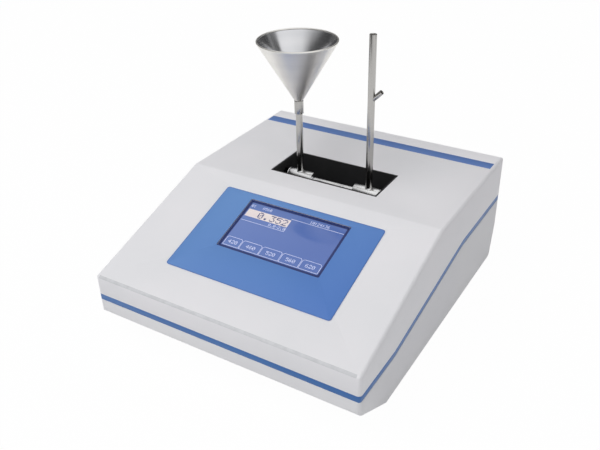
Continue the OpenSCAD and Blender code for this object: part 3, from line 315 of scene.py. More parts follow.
# Liquid crystal display with its light on: the blue is lit from behind and lies under glass; its drift to a paler blue
# towards the upper left is painted light
DISPLAY_FIELD_PAINTED_LIGHT = Graded("lit_liquid_crystal_painted_light", "#4c69ae", "#5a76b6", roughness=(0.16, 0.22),
                       grain_mm=0.9, relief_mm=0.0005, cloud_mm=45, coat=0.6, glow=0.12,
                       start=(40.0, -80.0, 90.0), end=(-50.0, -30.0, 104.0))
DISPLAY_LINE = Finish("lit_display_dots", "#d6dcf6", "#c8d0f2", roughness=(0.2, 0.3),
                      grain_mm=0.5, relief_mm=0.0005, cloud_mm=20, glow=0.15)
DISPLAY_PAPER = Finish("lit_display_field", "#efe4df", "#e9dcde", roughness=(0.2, 0.3),
                       grain_mm=0.5, relief_mm=0.0005, cloud_mm=20, glow=0.05)
DISPLAY_DARK = Finish("dark_display_dots", "#48507f", "#565d8e", roughness=(0.2, 0.3),
                      grain_mm=0.5, relief_mm=0.0005, cloud_mm=20)
# Stainless steel sheet spun over a form: brushed outside, polished inside, with faint tool rings
SPUN_STEEL = Finish("spun_stainless_brushed", "#f1efea", "#e8e6e2", 1.0, (0.36, 0.42),
                    grain_mm=1.2, relief_mm=0.0003, cloud_mm=16, lay=Lay.RINGS_ROUND_Z)
BRIGHT_STEEL = Finish("spun_stainless_polished", "#e2e2e4", "#d6d7da", 1.0, (0.17, 0.22),
                      grain_mm=1.2, relief_mm=0.0003, cloud_mm=16, lay=Lay.RINGS_ROUND_Z)
# Drawn and polished tube: bright, with faint marks along its length
TUBE_STEEL = Finish("drawn_stainless_polished", "#bcbab7", "#aaa9a7", 1.0, (0.16, 0.24),
                    grain_mm=0.5, relief_mm=0.0005, cloud_mm=12, lay=Lay.LONG_Z)
# Turned bar: fine rings round its axis
TURNED_STEEL = Finish("turned_stainless", "#ebebeb", "#dcdcde", 1.0, (0.20, 0.32),
                      grain_mm=0.35, relief_mm=0.002, cloud_mm=7, lay=Lay.RINGS_ROUND_X)
# Zinc plated steel: grey, uneven, duller than stainless
ZINC_STEEL = Finish("zinc_plated_steel", "#aeb1b6", "#9ea2a8", 1.0, (0.28, 0.42),
                    grain_mm=0.6, relief_mm=0.003, cloud_mm=6)
# Aluminium sheet as rolled: pale, with fine lines along X
SHEET_ALLOY = Finish("rolled_aluminium_sheet", "#c4c7cb", "#b6babf", 1.0, (0.30, 0.42),
                     grain_mm=0.6, relief_mm=0.003, cloud_mm=25, lay=Lay.LONG_X)
# Painted steel sheet: mid grey, satin
PANEL_PAINT = Finish("stoved_paint_mid_grey", "#8b8f94", "#848990", roughness=(0.42, 0.54),
                     grain_mm=1.2, relief_mm=0.005, cloud_mm=40)
# Black anodised aluminium: near black, dull metal with a fine grain
BLACK_ANODISED = Finish("black_anodised_aluminium", "#1c1d1f", "#232426", 0.7, (0.42, 0.56),
                        grain_mm=0.4, relief_mm=0.003, cloud_mm=18)
# Flat black paint inside the chamber: swallows stray light, a little dust catches the eye
CHAMBER_BLACK = Finish("optical_flat_black_paint", "#131314", "#1a1a1b", roughness=(0.72, 0.88),
                       grain_mm=0.8, relief_mm=0.02, cloud_mm=25, sheen=0.03)
# Moulded black polycarbonate or nylon: spark textured, satin
BLACK_PLASTIC = Finish("moulded_black_nylon", "#1b1c1e", "#222326", roughness=(0.42, 0.58),
                       grain_mm=0.5, relief_mm=0.008, cloud_mm=20)
ROCKER_PLASTIC = Finish("moulded_black_rocker", "#26272a", "#2c2d31", roughness=(0.28, 0.4),
                        grain_mm=0.4, relief_mm=0.003, cloud_mm=12)
MARK_WHITE = Finish("printed_white_ink", "#e9eaec", "#dfe1e4", roughness=(0.4, 0.5),
                    grain_mm=0.3, relief_mm=0.001, cloud_mm=5)
# Natural rubber feet: dead matte, with a bloom of dust
FOOT_RUBBER = Finish("moulded_rubber_black", "#171718", "#212122", roughness=(0.78, 0.92),
                     grain_mm=0.6, relief_mm=0.02, cloud_mm=9, sheen=0.05)
SOLDER_MASK = Finish("solder_mask_green", "#2c6a43", "#246038", roughness=(0.22, 0.38),
                     grain_mm=0.9, relief_mm=0.006, cloud_mm=8, coat=0.2)
RIBBON_GREY = Finish("flat_cable_pvc_grey", "#b4b7bf", "#a6aab3", roughness=(0.4, 0.5),
                     grain_mm=1.2, relief_mm=0.05, cloud_mm=15)
LAMP_CERAMIC = Finish("steatite_ceramic", "#e6e0d3", "#dcd5c6", roughness=(0.5, 0.65),
                      grain_mm=0.5, relief_mm=0.006, cloud_mm=6)
GOLD_CONTACT = Finish("gold_plated_contact", "#d9b36a", "#cfa65a", 1.0, (0.2, 0.3),
                      grain_mm=0.3, relief_mm=0.001, cloud_mm=3)
OPTICAL_GLASS = Clear("polished_optical_glass", "#f2f8fa", "#eaf4f6")
FILTER_GLASS = Clear("dyed_filter_glass", "#d2a83c", "#c99b2e", 0.05)


# Shapes


class Form:
    """A shape in the making, in millimetres, that ends as a piece in metres."""

    def __init__(self) -> None:
        """Starts an empty shape."""
        self.bm = bmesh.new()
        self.facing_out = False

    @classmethod
    def of_node(cls, node: str, edge: float = 0.0, segments: int = 2, over: float = 30.0,
                whole: int = 20) -> "Form":
        """Copies a CAD node, joins its triangles into flat faces and rounds its sharp edges.

        Args:
            node: the CAD node's name.
            edge: the width of the rounding.
            segments: the number of steps in the rounding.
            over: the angle in degrees past which an edge is rounded.
            whole: the most corners that a flat face keeps in one piece.

        Returns:
            The copy as a form.
        """
        form = cls()
        bm = form.bm
        bm.from_mesh(NODES[node].data)
        bmesh.ops.scale(bm, vec=(1 / MM,) * 3, verts=bm.verts)
        bmesh.ops.remove_doubles(bm, verts=bm.verts, dist=0.002)
        bmesh.ops.dissolve_limit(bm, angle_limit=math.radians(0.4), verts=bm.verts, edges=bm.edges)
        bmesh.ops.triangulate(bm, faces=[face for face in bm.faces if len(face.verts) > whole])
        form.facing_out = True
        return form.bevel(edge, segments, over) if edge else form

    def bevel(self, width: float, segments: int = 2, over: float = 30.0) -> "Form":
        """Rounds every edge sharper than an angle.

        Args:
            width: the width of the rounding.
            segments: its number of steps.
            over: the angle in degrees past which an edge is rounded.

        Returns:
            The form itself.
        """
        limit = math.radians(over)
        sharp = [e for e in self.bm.edges if e.is_manifold and e.calc_face_angle(0) > limit]
        bmesh.ops.bevel(self.bm, geom=sharp, offset=width, offset_type="OFFSET", segments=segments,
                        profile=0.5, affect="EDGES", clamp_overlap=False, material=-1)
        return self

    def block(self, size: Point3, centre: Point3) -> "Form":
        """Adds a block.

        Args:
            size: its size on each axis.
            centre: its middle.

        Returns:
            The form itself.
        """
        place = Matrix.Translation(centre) @ Matrix.Diagonal((*size, 1.0))
        bmesh.ops.create_cube(self.bm, size=1, matrix=place)
        return self

    def lathe(self, profile: Sequence[Point2], steps: int = 64) -> "Form":
        """Adds a shape spun round Z.

        Args:
            profile: the closed outline as (radius, height) points.
            steps: the number of steps in the full turn.

        Returns:
            The form itself.
        """
        verts = [self.bm.verts.new((r, 0, z)) for r, z in profile]
        edges = [self.bm.edges.new(pair) for pair in zip(verts, verts[1:] + verts[:1])]
        bmesh.ops.spin(self.bm, geom=verts + edges, cent=(0, 0, 0), axis=(0, 0, 1), dvec=(0, 0, 0),
                       angle=math.tau, steps=steps, use_merge=True, use_duplicate=False)
        return self

    def plate(self, corners: Sequence[Point2], depth: float, radius: float = 0.0, steps: int = 6) -> "Form":
        """Adds a flat plate that stands on z = 0.

        Args:
            corners: its outline.
            depth: its thickness.
            radius: the radius of its corners.
            steps: the number of steps in each corner.

        Returns:
            The form itself.
        """
        verts = [self.bm.verts.new((x, y, 0)) for x, y in corners]
        face = self.bm.faces.new(verts)
        if radius:
            made = bmesh.ops.bevel(self.bm, geom=verts, offset=radius, offset_type="OFFSET", segments=steps,
                                   profile=0.5, affect="VERTICES", clamp_overlap=False, material=-1)
            face = next(f for f in self.bm.faces if f.is_valid and set(made["verts"]) & set(f.verts))
        raised = bmesh.ops.extrude_face_region(self.bm, geom=[face])
        top = [v for v in raised["geom"] if isinstance(v, bmesh.types.BMVert)]
        bmesh.ops.translate(self.bm, vec=(0, 0, depth), verts=top)
        return self

    def pocket(self, rim: float, depth: float) -> "Form":
        """Sinks the highest flat face, inside a rim.

        Args:
            rim: the width of the rim that stays.
            depth: the depth of the pocket.

        Returns:
            The form itself.
        """
        face = max(self.bm.faces, key=lambda f: (round(f.calc_center_median().z, 3), f.calc_area()))
        bmesh.ops.inset_region(self.bm, faces=[face], thickness=rim, use_even_offset=True)
        sunk = bmesh.ops.extrude_face_region(self.bm, geom=[face])
        verts = [v for v in sunk["geom"] if isinstance(v, bmesh.types.BMVert)]
        bmesh.ops.translate(self.bm, vec=(0, 0, -depth), verts=verts)
        bmesh.ops.delete(self.bm, geom=[face], context="FACES_ONLY")
        return self

    def put(self, place: Matrix) -> "Form":
        """Moves the whole form.

        Args:
            place: the place as a matrix in millimetres.

        Returns:
            The form itself.
        """
        bmesh.ops.transform(self.bm, matrix=place, verts=self.bm.verts)
        return self

    def add(self, other: "Form", place: Optional[Matrix] = None) -> "Form":
        """Adds a copy of another form.

        Args:
            other: the form to add.
            place: where it goes, in millimetres.

        Returns:
            The form itself.
        """
        mesh = bpy.data.meshes.new("joined")
        other.bm.to_mesh(mesh)
        mesh.transform(place or Matrix.Identity(4))
        self.bm.from_mesh(mesh)
        bpy.data.meshes.remove(mesh)
        return self

    def piece(
        self, name: str, finish: Finish | Clear, body: str, slot: str,
        replaces: Sequence[str] = (), smooth: float = 32.0
    ) -> bpy.types.Object:
        """Ends the form as a piece of the object.

        Args:
            name: the piece's name.
            finish: its finish.
            body: the body that it moves with.
            slot: not used.
            replaces: the CAD nodes that it stands for.
            smooth: the angle in degrees below which faces shade as one.

        Returns:
            The finished piece.
        """
        bm = self.bm
        bmesh.ops.remove_doubles(bm, verts=bm.verts, dist=0.0008)
        bmesh.ops.dissolve_degenerate(bm, dist=0.0005, edges=bm.edges)
        if not self.facing_out:
            bmesh.ops.recalc_face_normals(bm, faces=bm.faces)
        limit = math.radians(smooth)
        for face in bm.faces:
            face.smooth = True
        for edge in bm.edges:
            edge.smooth = edge.is_manifold and edge.calc_face_angle(0) < limit
        bmesh.ops.scale(bm, vec=(MM,) * 3, verts=bm.verts)
        mesh = bpy.data.meshes.new(name)
        bm.to_mesh(mesh)
        bm.free()
        made = bpy.data.objects.new(name, mesh)
        bpy.context.scene.collection.objects.link(made)
        mesh.materials.append(finish.material())
        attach(made, body)
        if replaces:
            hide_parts(*replaces)
        log.info("%s: %d faces, on %s", name, len(mesh.polygons), body)
        return made


def dress(finish: Finish | Clear, *nodes: str) -> None:
    """Gives CAD nodes that keep their own mesh a finish.

    Args:
        finish: the finish.
        nodes: the CAD nodes' names.
    """
    for node in nodes:
        for holder in NODES[node].material_slots:
            holder.material = finish.material()
        log.info("%s: dressed in %s", node, finish.name)


def refine(node: str, finish: Finish | Clear, body: str, slot: str, edge: float, segments: int = 2) -> None:
    """Puts a copy with rounded edges in place of a CAD node.

    Args:
        node: the CAD node's name.
        finish: the copy's finish.
        body: the body that it moves with.
        slot: the record's material slot.
        edge: the width of the rounding.
        segments: the number of steps in the rounding.
    """
    Form.of_node(node, edge, segments).piece(f"{node}_made", finish, body, slot, (node,))


# Studio


@dataclass
class Studio:
    """The camera at the photograph's angle, a pale floor and soft light."""

    eye: Point3 = (0.34862, -0.57982, 0.49404)
    turn: Point3 = (58.9324, 1.2923, 31.3106)
    lens: float = 43.913
    sensor: float = 36.0
    floor_half: float = 12.0
    ambient: float = 0.42
    lamps: tuple[tuple[str, Point3, float, float], ...] = (
        ("key", (-0.75, -1.2, 2.55), 3.0, 47.0),
        ("fill", (1.9, -1.2, 1.4), 1.6, 2.0),
    )

    def build(self) -> None:
        """Makes the camera, the floor, the lamps and the world."""
        scene = bpy.context.scene
        scene.view_settings.view_transform = "Standard"
        self.camera(scene)
        self.floor()
        self.lights()
        self.world(scene)

    def camera(self, scene: bpy.types.Scene) -> None:
        """Makes the camera.

        Args:
            scene: the scene that it is for.
        """
        data = bpy.data.cameras.new("view")
        data.lens, data.sensor_width, data.sensor_fit = self.lens, self.sensor, "HORIZONTAL"
        made = bpy.data.objects.new("view", data)
        made.location = self.eye
        made.rotation_euler = Euler([math.radians(a) for a in self.turn])
        scene.collection.objects.link(made)
        scene.camera = made

    def floor(self) -> None:
        """Makes the floor: white to the eye and in reflections, with the object's soft shadow."""
        bm = bmesh.new()
        bmesh.ops.create_grid(bm, x_segments=1, y_segments=1, size=self.floor_half)
        mesh = bpy.data.meshes.new("floor")
        bm.to_mesh(mesh)
        bm.free()
        made = bpy.data.objects.new("floor", mesh)
        bpy.context.scene.collection.objects.link(made)
        paper = bpy.data.materials.new("white_paper_floor")
        paper.use_nodes = True
        tree = paper.node_tree
        tree.nodes.clear()
        path = add_node(tree, "ShaderNodeLightPath").outputs
        seen = add_node(tree, "ShaderNodeMath", {
            0: path["Is Camera Ray"], 1: path["Is Glossy Ray"]}, operation="ADD", use_clamp=True)
        seen = add_node(tree, "ShaderNodeMath", {
            0: seen.outputs[0], 1: path["Is Transmission Ray"]}, operation="ADD", use_clamp=True)
        share = add_node(tree, "ShaderNodeMath", {0: seen.outputs[0], 1: 0.98}, operation="MULTIPLY")
        matt = add_node(tree, "ShaderNodeBsdfDiffuse", {"Color": linear("#f4f4f5")})
        white = add_node(tree, "ShaderNodeEmission", {"Color": (1, 1, 1, 1), "Strength": 1.0})
        both = add_node(tree, "ShaderNodeMixShader", {
            0: share.outputs[0], 1: matt.outputs[0], 2: white.outputs[0]})
        add_node(tree, "ShaderNodeOutputMaterial", {"Surface": both.outputs[0]})
        mesh.materials.append(paper)

    def lights(self) -> None:
        """Makes the soft lamps, aimed at the middle of the housing."""
        for name, place, size, power in self.lamps:
            data = bpy.data.lights.new(name, "AREA")
            data.shape, data.size, data.energy = "DISK", size, power
            made = bpy.data.objects.new(name, data)
            made.location = place
            made.rotation_euler = (Vector((0, 0, 0.08)) - Vector(place)).to_track_quat("-Z", "Y").to_euler()
            made.visible_glossy = False
            bpy.context.scene.collection.objects.link(made)

    def world(self, scene: bpy.types.Scene) -> None:
        """Makes the room: an even light, and in reflections a bright front with a darker back.

        Args:
            scene: the scene that it is for.
        """
        room = bpy.data.worlds.new("studio")
        scene.world = room
        room.use_nodes = True
        tree = room.node_tree
        tree.nodes.clear()
        way = add_node(tree, "ShaderNodeTexCoord").outputs["Generated"]
        parts = add_node(tree, "ShaderNodeSeparateXYZ", {"Vector": way}).outputs
        turn = add_node(tree, "ShaderNodeMath", {0: parts["Y"], 1: parts["X"]}, operation="ARCTAN2")
        round_ = add_node(tree, "ShaderNodeMapRange", {
            "Value": turn.outputs[0], "From Min": -math.pi, "From Max": math.pi})
        ramp = add_node(tree, "ShaderNodeValToRGB", {"Fac": round_.outputs[0]})
        stops = ((0.0, 0.07), (0.19, 0.08), (0.24, 0.40), (0.29, 0.80), (0.42, 1.0), (0.53, 1.0),
                 (0.545, 0.10), (0.60, 0.14), (0.615, 0.36), (0.635, 0.07), (0.84, 0.12))
        grey = ramp.color_ramp
        for _ in range(len(stops) - len(grey.elements)):
            grey.elements.new(0.5)
        for element, (at, level) in zip(grey.elements, stops):
            element.position, element.color = at, (level, level, level, 1.0)
        high = add_node(tree, "ShaderNodeMapRange", {
            "Value": parts["Z"], "From Min": 0.5, "From Max": 0.8})
        sky = add_node(tree, "ShaderNodeMix", {
            0: high.outputs[0], 6: ramp.outputs["Color"], 7: (1.0, 1.0, 1.0, 1.0)}, data_type="RGBA")
        path = add_node(tree, "ShaderNodeLightPath").outputs
        plain = add_node(tree, "ShaderNodeBackground", {
            "Color": linear("#fcfcff"), "Strength": self.ambient})
        mirrored = add_node(tree, "ShaderNodeBackground", {"Color": sky.outputs[2], "Strength": 1.0})
        white = add_node(tree, "ShaderNodeBackground", {"Color": (1, 1, 1, 1), "Strength": 1.0})
        shine = add_node(tree, "ShaderNodeMixShader", {
            0: path["Is Glossy Ray"], 1: plain.outputs[0], 2: mirrored.outputs[0]})
        seen = add_node(tree, "ShaderNodeMixShader", {
            0: path["Is Camera Ray"], 1: shine.outputs[0], 2: white.outputs[0]})
        add_node(tree, "ShaderNodeOutputWorld", {"Surface": seen.outputs[0]})


# Sub-assemblies


@dataclass
class Slope:
    """The sloped front of the cover, from the front lip up to the level top."""

    front: float = -175.0
    lip: float = 75.0
    run: float = 169.0
    rise: float = 53.0

    def at(self, x: float, up: float, out: float = 0.0) -> Matrix:
        """Gives a place on the slope.

        Args:
            x: distance to the right of the middle.
            up: distance from the lip, along the slope.
            out: distance out of the surface.

        Returns:
            The place as a matrix in millimetres.
        """
        tilt = Matrix.Rotation(math.atan2(self.rise, self.run), 4, "X")
        return Matrix.Translation((0, self.front, self.lip)) @ tilt @ Matrix.Translation((x, up, out))


@dataclass
class Housing:
    """The cover, the tub, the blue trim between them and the blue strip across the top."""

    cover_edge: float = 0.35
    trim_edge: float = 0.2
    slope: Slope = field(default_factory=Slope)
    fold_r: float = 4.5
    fold_len: float = 291.0
    fold_turns: tuple[int, int, int] = (118, 163, 4)
    fold_over: float = 0.06
    fold_under: float = 0.2

    def build(self) -> None:
        """Makes the housing's shells and trims."""
        refine("upper_cover", COVER_PAINT, "housing", "cover_paint", self.cover_edge)
        refine("lower_tub", TUB_PAINT_SHADED, "housing", "cover_paint", self.cover_edge)
        refine("seam_trim", TRIM_BLUE, "housing", "trim_blue", self.trim_edge)
        refine("rear_strip", STRIP_BLUE, "housing", "trim_blue", 0.08)
        self.fold()

    def fold(self) -> None:
        """Makes the painted shade line along the fold of the front lip: a greyer strip of the coat."""
        tilt = math.atan2(self.slope.rise, self.slope.run)
        y = self.slope.front + self.fold_r
        z = self.slope.lip + self.fold_r * math.tan(tilt) - self.fold_r / math.cos(tilt)
        turns = [math.radians(a) for a in range(*self.fold_turns)]
        rings = [[(y + r * math.cos(a), z + r * math.sin(a)) for a in turns]
                 for r in (self.fold_r + self.fold_over, self.fold_r - self.fold_under)]
        form = Form().plate([*rings[0], *reversed(rings[1])], self.fold_len)
        form.put(Matrix(((0, 0, 1, -self.fold_len / 2), (1, 0, 0, 0), (0, 1, 0, 0), (0, 0, 0, 1))))
        form.piece("lip_fold_painted_shade", FOLD_PAINTED_SHADE, "housing", "cover_paint")


@dataclass
class ControlPanel:
    """The printed film on the slope, the display's frame and the lit display."""

    slope: Slope = field(default_factory=Slope)
    film: Point3 = (188.0, 116.0, 0.6)
    film_at: Point2 = (5.0, 99.0)
    film_corner: float = 3.0
    edge_shade_width: float = 0.5
    window: Point3 = (115.0, 65.0, 1.1)
    window_at: Point2 = (6.0, 115.0)
    window_sunk: float = 0.9
    dot: float = 0.475
    ink: float = 0.03

    def build(self) -> None:
        """Makes the film, its edge line of painted shade, the frame and the display."""
        refine("panel_overlay", PANEL_FILM_PAINTED_LIGHT, "housing", "overlay_film", 0.15)
        refine("screen_bezel", BEZEL_BLUE, "housing", "bezel_plastic", 0.15)
        self.film_line()
        field_ = Form.of_node("screen_glass", 0.1)
        field_.piece("display_window_made", DISPLAY_FIELD_PAINTED_LIGHT, "housing", "display_window", ("screen_glass",))
        self.picture()

    def film_line(self) -> None:
        """Makes the thin darker line round the film: painted shade standing for the shadow of the film's edge."""
        half_w, half_l = self.film[0] / 2, self.film[1] / 2
        ring = Form().plate([(-half_w, -half_l), (half_w, -half_l), (half_w, half_l), (-half_w, half_l)],
                            self.ink, self.film_corner)
        top = max(ring.bm.faces, key=lambda f: f.calc_center_median().z)
        low = min(ring.bm.faces, key=lambda f: f.calc_center_median().z)
        bmesh.ops.inset_region(ring.bm, faces=[top], thickness=self.edge_shade_width, use_even_offset=True)
        bmesh.ops.inset_region(ring.bm, faces=[low], thickness=self.edge_shade_width, use_even_offset=True)
        rims = [e for f in (top, low) for e in f.edges]
        bmesh.ops.delete(ring.bm, geom=[top, low], context="FACES_ONLY")
        bmesh.ops.bridge_loops(ring.bm, edges=rims)
        place = self.slope.at(self.film_at[0], self.film_at[1], self.film[2] + 0.005)
        ring.put(place).piece("film_edge_shade_line", FILM_EDGE_SHADE, "housing", "overlay_film")

    def picture(self) -> None:
        """Makes what the display shows: rules, a reading, a row of keys and plain numbers."""
        picture = DisplayPicture(self.dot, self.ink)
        place = self.slope.at(self.window_at[0], self.window_at[1], -self.window_sunk)
        picture.mask(self.window[0], self.window[1]).put(place).piece(
            "display_mask", BEZEL_BLUE, "housing", "display_window")
        picture.lines().put(place).piece("display_lines", DISPLAY_LINE, "housing", "display_window")
        picture.paper().put(place).piece("display_reading_field", DISPLAY_PAPER, "housing", "display_window")
        place = self.slope.at(self.window_at[0], self.window_at[1], self.ink - self.window_sunk)
        picture.reading().put(place).piece("display_reading", DISPLAY_DARK, "housing", "display_window")


class Digit(Enum):
    """Dots of each sign in a grid of five by seven, as a row of bits from the top down."""

    ZERO = ("0", (14, 17, 19, 21, 25, 17, 14))
    ONE = ("1", (4, 12, 4, 4, 4, 4, 14))
    TWO = ("2", (14, 17, 1, 2, 4, 8, 31))
    THREE = ("3", (31, 2, 4, 2, 1, 17, 14))
    FOUR = ("4", (2, 6, 10, 18, 31, 2, 2))
    FIVE = ("5", (31, 16, 30, 1, 1, 17, 14))
    SIX = ("6", (6, 8, 16, 30, 17, 17, 14))
    SEVEN = ("7", (31, 1, 2, 4, 8, 8, 8))
    EIGHT = ("8", (14, 17, 17, 14, 17, 17, 14))
    NINE = ("9", (14, 17, 17, 15, 1, 2, 12))
    POINT = (".", (0, 0, 0, 0, 0, 12, 12))
    COLON = (":", (0, 12, 12, 0, 12, 12, 0))
    DASH = ("-", (0, 0, 0, 31, 0, 0, 0))

    @classmethod
    def rows(cls, sign: str) -> Sequence[int]:
        """Gives the rows of bits of a sign, all dark for a space."""
        return next((d.value[1] for d in cls if d.value[0] == sign), (0,) * 7)


@dataclass
class DisplayPicture:
    """The display's picture, in millimetres from the middle of its window.

    Args:
        dot: the pitch of its dots.
        ink: how far its marks stand off the window.
    """

    dot: float
    ink: float
    half_width: float = 55.5
    rule_up: float = 24.0
    field_at: Point3 = (-55.0, 12.0, 0.0)
    field_size: Point2 = (51.5, 10.2)
    key_top: float = -18.5
    key_low: float = -30.0
    key_edges: tuple[float, ...] = (-55.5, -36.0, -12.5, 11.0, 33.5, 55.5)
    key_cut: float = 1.6
    border: float = 1.5
    label_low: float = -26.6
    label_scale: float = 1.3
    labels: tuple[str, ...] = ("420", "460", "520", "560", "620")

    def bar(self, form: Form, start: Point2, end: Point2, width: float) -> None:
        """Adds a straight bar to a form.

        Args:
            form: the form that gets it.
            start: where it starts.
            end: where it ends.
            width: its width.
        """
        run = Vector(end) - Vector(start)
        middle = (Vector(start) + Vector(end)) / 2
        turn = Matrix.Rotation(math.atan2(run.y, run.x), 4, "Z")
        piece = Form().block((run.length + width, width, self.ink), (0, 0, self.ink / 2))
        form.add(piece, Matrix.Translation((*middle, 0)) @ turn)

    def write(self, form: Form, text: str, at: Point2, dot: Point2) -> None:
        """Adds a row of plain signs, dot by dot.

        Args:
            form: the form that gets them.
            text: the signs.
            at: the lower left corner of the first one.
            dot: the width and height of a dot.
        """
        for place, sign in enumerate(text):
            for row, bits in enumerate(Digit.rows(sign)):
                for column in range(5):
                    if bits >> (4 - column) & 1:
                        x = at[0] + (place * 6 + column + 0.5) * dot[0]
                        y = at[1] + (6.5 - row) * dot[1]
                        form.block((dot[0] * 0.96, dot[1] * 0.96, self.ink), (x, y, self.ink / 2))

    def lines(self) -> Form:
        """Makes the pale rules, the keys' outlines and the small numbers.

        Returns:
            The marks as a form.
        """
        form, thin, small = Form(), self.dot, (self.dot, self.dot)
        self.bar(form, (-4.5, self.rule_up), (self.half_width, self.rule_up), thin)
        self.bar(form, (-55.5, 6.0), (-3.5, 6.0), thin)
        self.bar(form, (-3.5, 6.0), (-3.5, 11.0), thin)
        self.write(form, "10:24:36", (16.0, 25.4), small)
        self.write(form, "0560", (-41.0, 25.4), small)
        self.write(form, "01", (-55.0, 25.4), small)
        self.write(form, "0.0-2.0", (-23.5, 7.4), small)
        for left, right in zip(self.key_edges, self.key_edges[1:]):
            a, b, c, low, top = left + 0.5, right - 0.5, self.key_cut, self.key_low, self.key_top
            outline = ((a + c, top), (b - c, top), (b, top - c), (b, low), (a, low), (a, top - c), (a + c, top))
            for start, end in zip(outline, outline[1:]):
                self.bar(form, start, end, thin)
        for label, left, right in zip(self.labels, self.key_edges, self.key_edges[1:]):
            step = self.dot * self.label_scale
            wide = (len(label) * 6 - 1) * step
            self.write(form, label, ((left + right - wide) / 2, self.label_low), (step, step))
        return form

    def mask(self, width: float, length: float) -> Form:
        """Makes the dark border printed round the lit area.

        Args:
            width: the window's width.
            length: the window's length.

        Returns:
            The border as a form.
        """
        form, x, y = Form(), (width - self.border) / 2, (length - self.border) / 2
        for start, end in (((-x, -y), (x, -y)), ((-x, y), (x, y)), ((-x, -y), (-x, y)), ((x, -y), (x, y))):
            self.bar(form, start, end, self.border - 0.2)
        return form

    def paper(self) -> Form:
        """Makes the pale field behind the reading."""
        (x, y, _), (w, h) = self.field_at, self.field_size
        return Form().block((w, h, self.ink), (x + w / 2, y + h / 2, self.ink / 2))

    def reading(self) -> Form:
        """Makes the large dark number on the pale field."""
        form = Form()
        self.write(form, "0.352", (-41.0, 13.0), (1.22, 1.16))
        return form


@dataclass
class Chamber:
    """The black sample chamber, its windows and the holder of the flow cell."""

    edge: float = 0.25

    def build(self) -> None:
        """Makes the chamber's pieces."""
        refine("chamber_liner", CHAMBER_BLACK, "housing", "black_plastic", self.edge)
        refine("cell_holder", CHAMBER_BLACK, "housing", "black_plastic", 0.4)
        dress(OPTICAL_GLASS, "chamber_windows")
        dress(BLACK_ANODISED, "window_rings")


@dataclass
class FlowCell:
    """The steel flow cell: two turned heads, the tube between them and the upright tubes."""

    beam: Point2 = (49.0, 112.5)
    riser_x: float = 43.0
    riser_r: float = 3.75

    def build(self) -> None:
        """Makes the cell's pieces."""
        for node in ("inlet_head", "outlet_head", "cell_caps"):
            refine(node, TURNED_STEEL, "flow_cell", "stainless", 0.45 if node != "cell_caps" else 0.2)
        for node in ("inlet_tube", "outlet_tube", "side_spout"):
            refine(node, TUBE_STEEL, "flow_cell", "stainless", 0.22)
        refine("cell_tube", TURNED_STEEL, "flow_cell", "stainless", 0.1)
        dress(OPTICAL_GLASS, "cell_windows")
        dress(FOOT_RUBBER, "cell_seals")
        self.welds()

    def welds(self) -> None:
        """Makes the small weld fillets at the feet of the upright tubes."""
        form = Form()
        y, z = self.beam
        radius = self.riser_r
        for x in (-self.riser_x, self.riser_x):
            foot = z + math.sqrt(64 - radius * radius)
            fillet = Form().lathe([(radius, 0.1), (radius + 0.7, 0.1), (radius + 0.35, 0.45), (radius, 1.1)], 48)
            form.add(fillet, Matrix.Translation((x, y, foot)))
        form.piece("riser_welds", TURNED_STEEL, "flow_cell", "stainless")


@dataclass
class Funnel:
    """The spun steel funnel and the socket that it stands on the inlet tube with."""

    at: Point2 = (-43.0, 49.0)
    mouth: float = 43.0
    top: float = 270.0
    tip: float = 204.0
    neck: float = 4.5
    bore: float = 2.75
    wall: float = 1.16
    bead: float = 1.0
    inner_slant: float = 0.3

    def build(self) -> None:
        """Makes the funnel and its socket."""
        rise = self.top - self.bead - self.tip
        slope = (self.mouth - self.neck) / rise
        inner_foot = self.tip + (self.bore + self.wall - self.neck) / slope
        arc = [(self.mouth - self.bead + self.bead * math.cos(a), self.top - self.bead + self.bead * math.sin(a))
               for a in (math.radians(d) for d in range(-40, 226, 15))]
        profile = [(self.bore, self.tip), (self.neck, self.tip), *arc,
                   (self.bore, max(inner_foot, self.tip + 0.2))]
        place = Matrix.Translation((*self.at, 0))
        cone = Form().lathe(profile, 160).put(place).piece(
            "funnel_cone", SPUN_STEEL, "funnel_body", "stainless", ("funnel",), smooth=40)
        cone.data.materials.append(BRIGHT_STEEL.material())
        for face in cone.data.polygons:
            face.material_index = int(face.normal.z > self.inner_slant and face.center.z < (self.top - self.bead) * MM)
        Form.of_node("funnel_socket", 0.3, 3).piece(
            "funnel_socket_made", TUBE_STEEL, "funnel_body", "stainless", ("funnel_socket",))


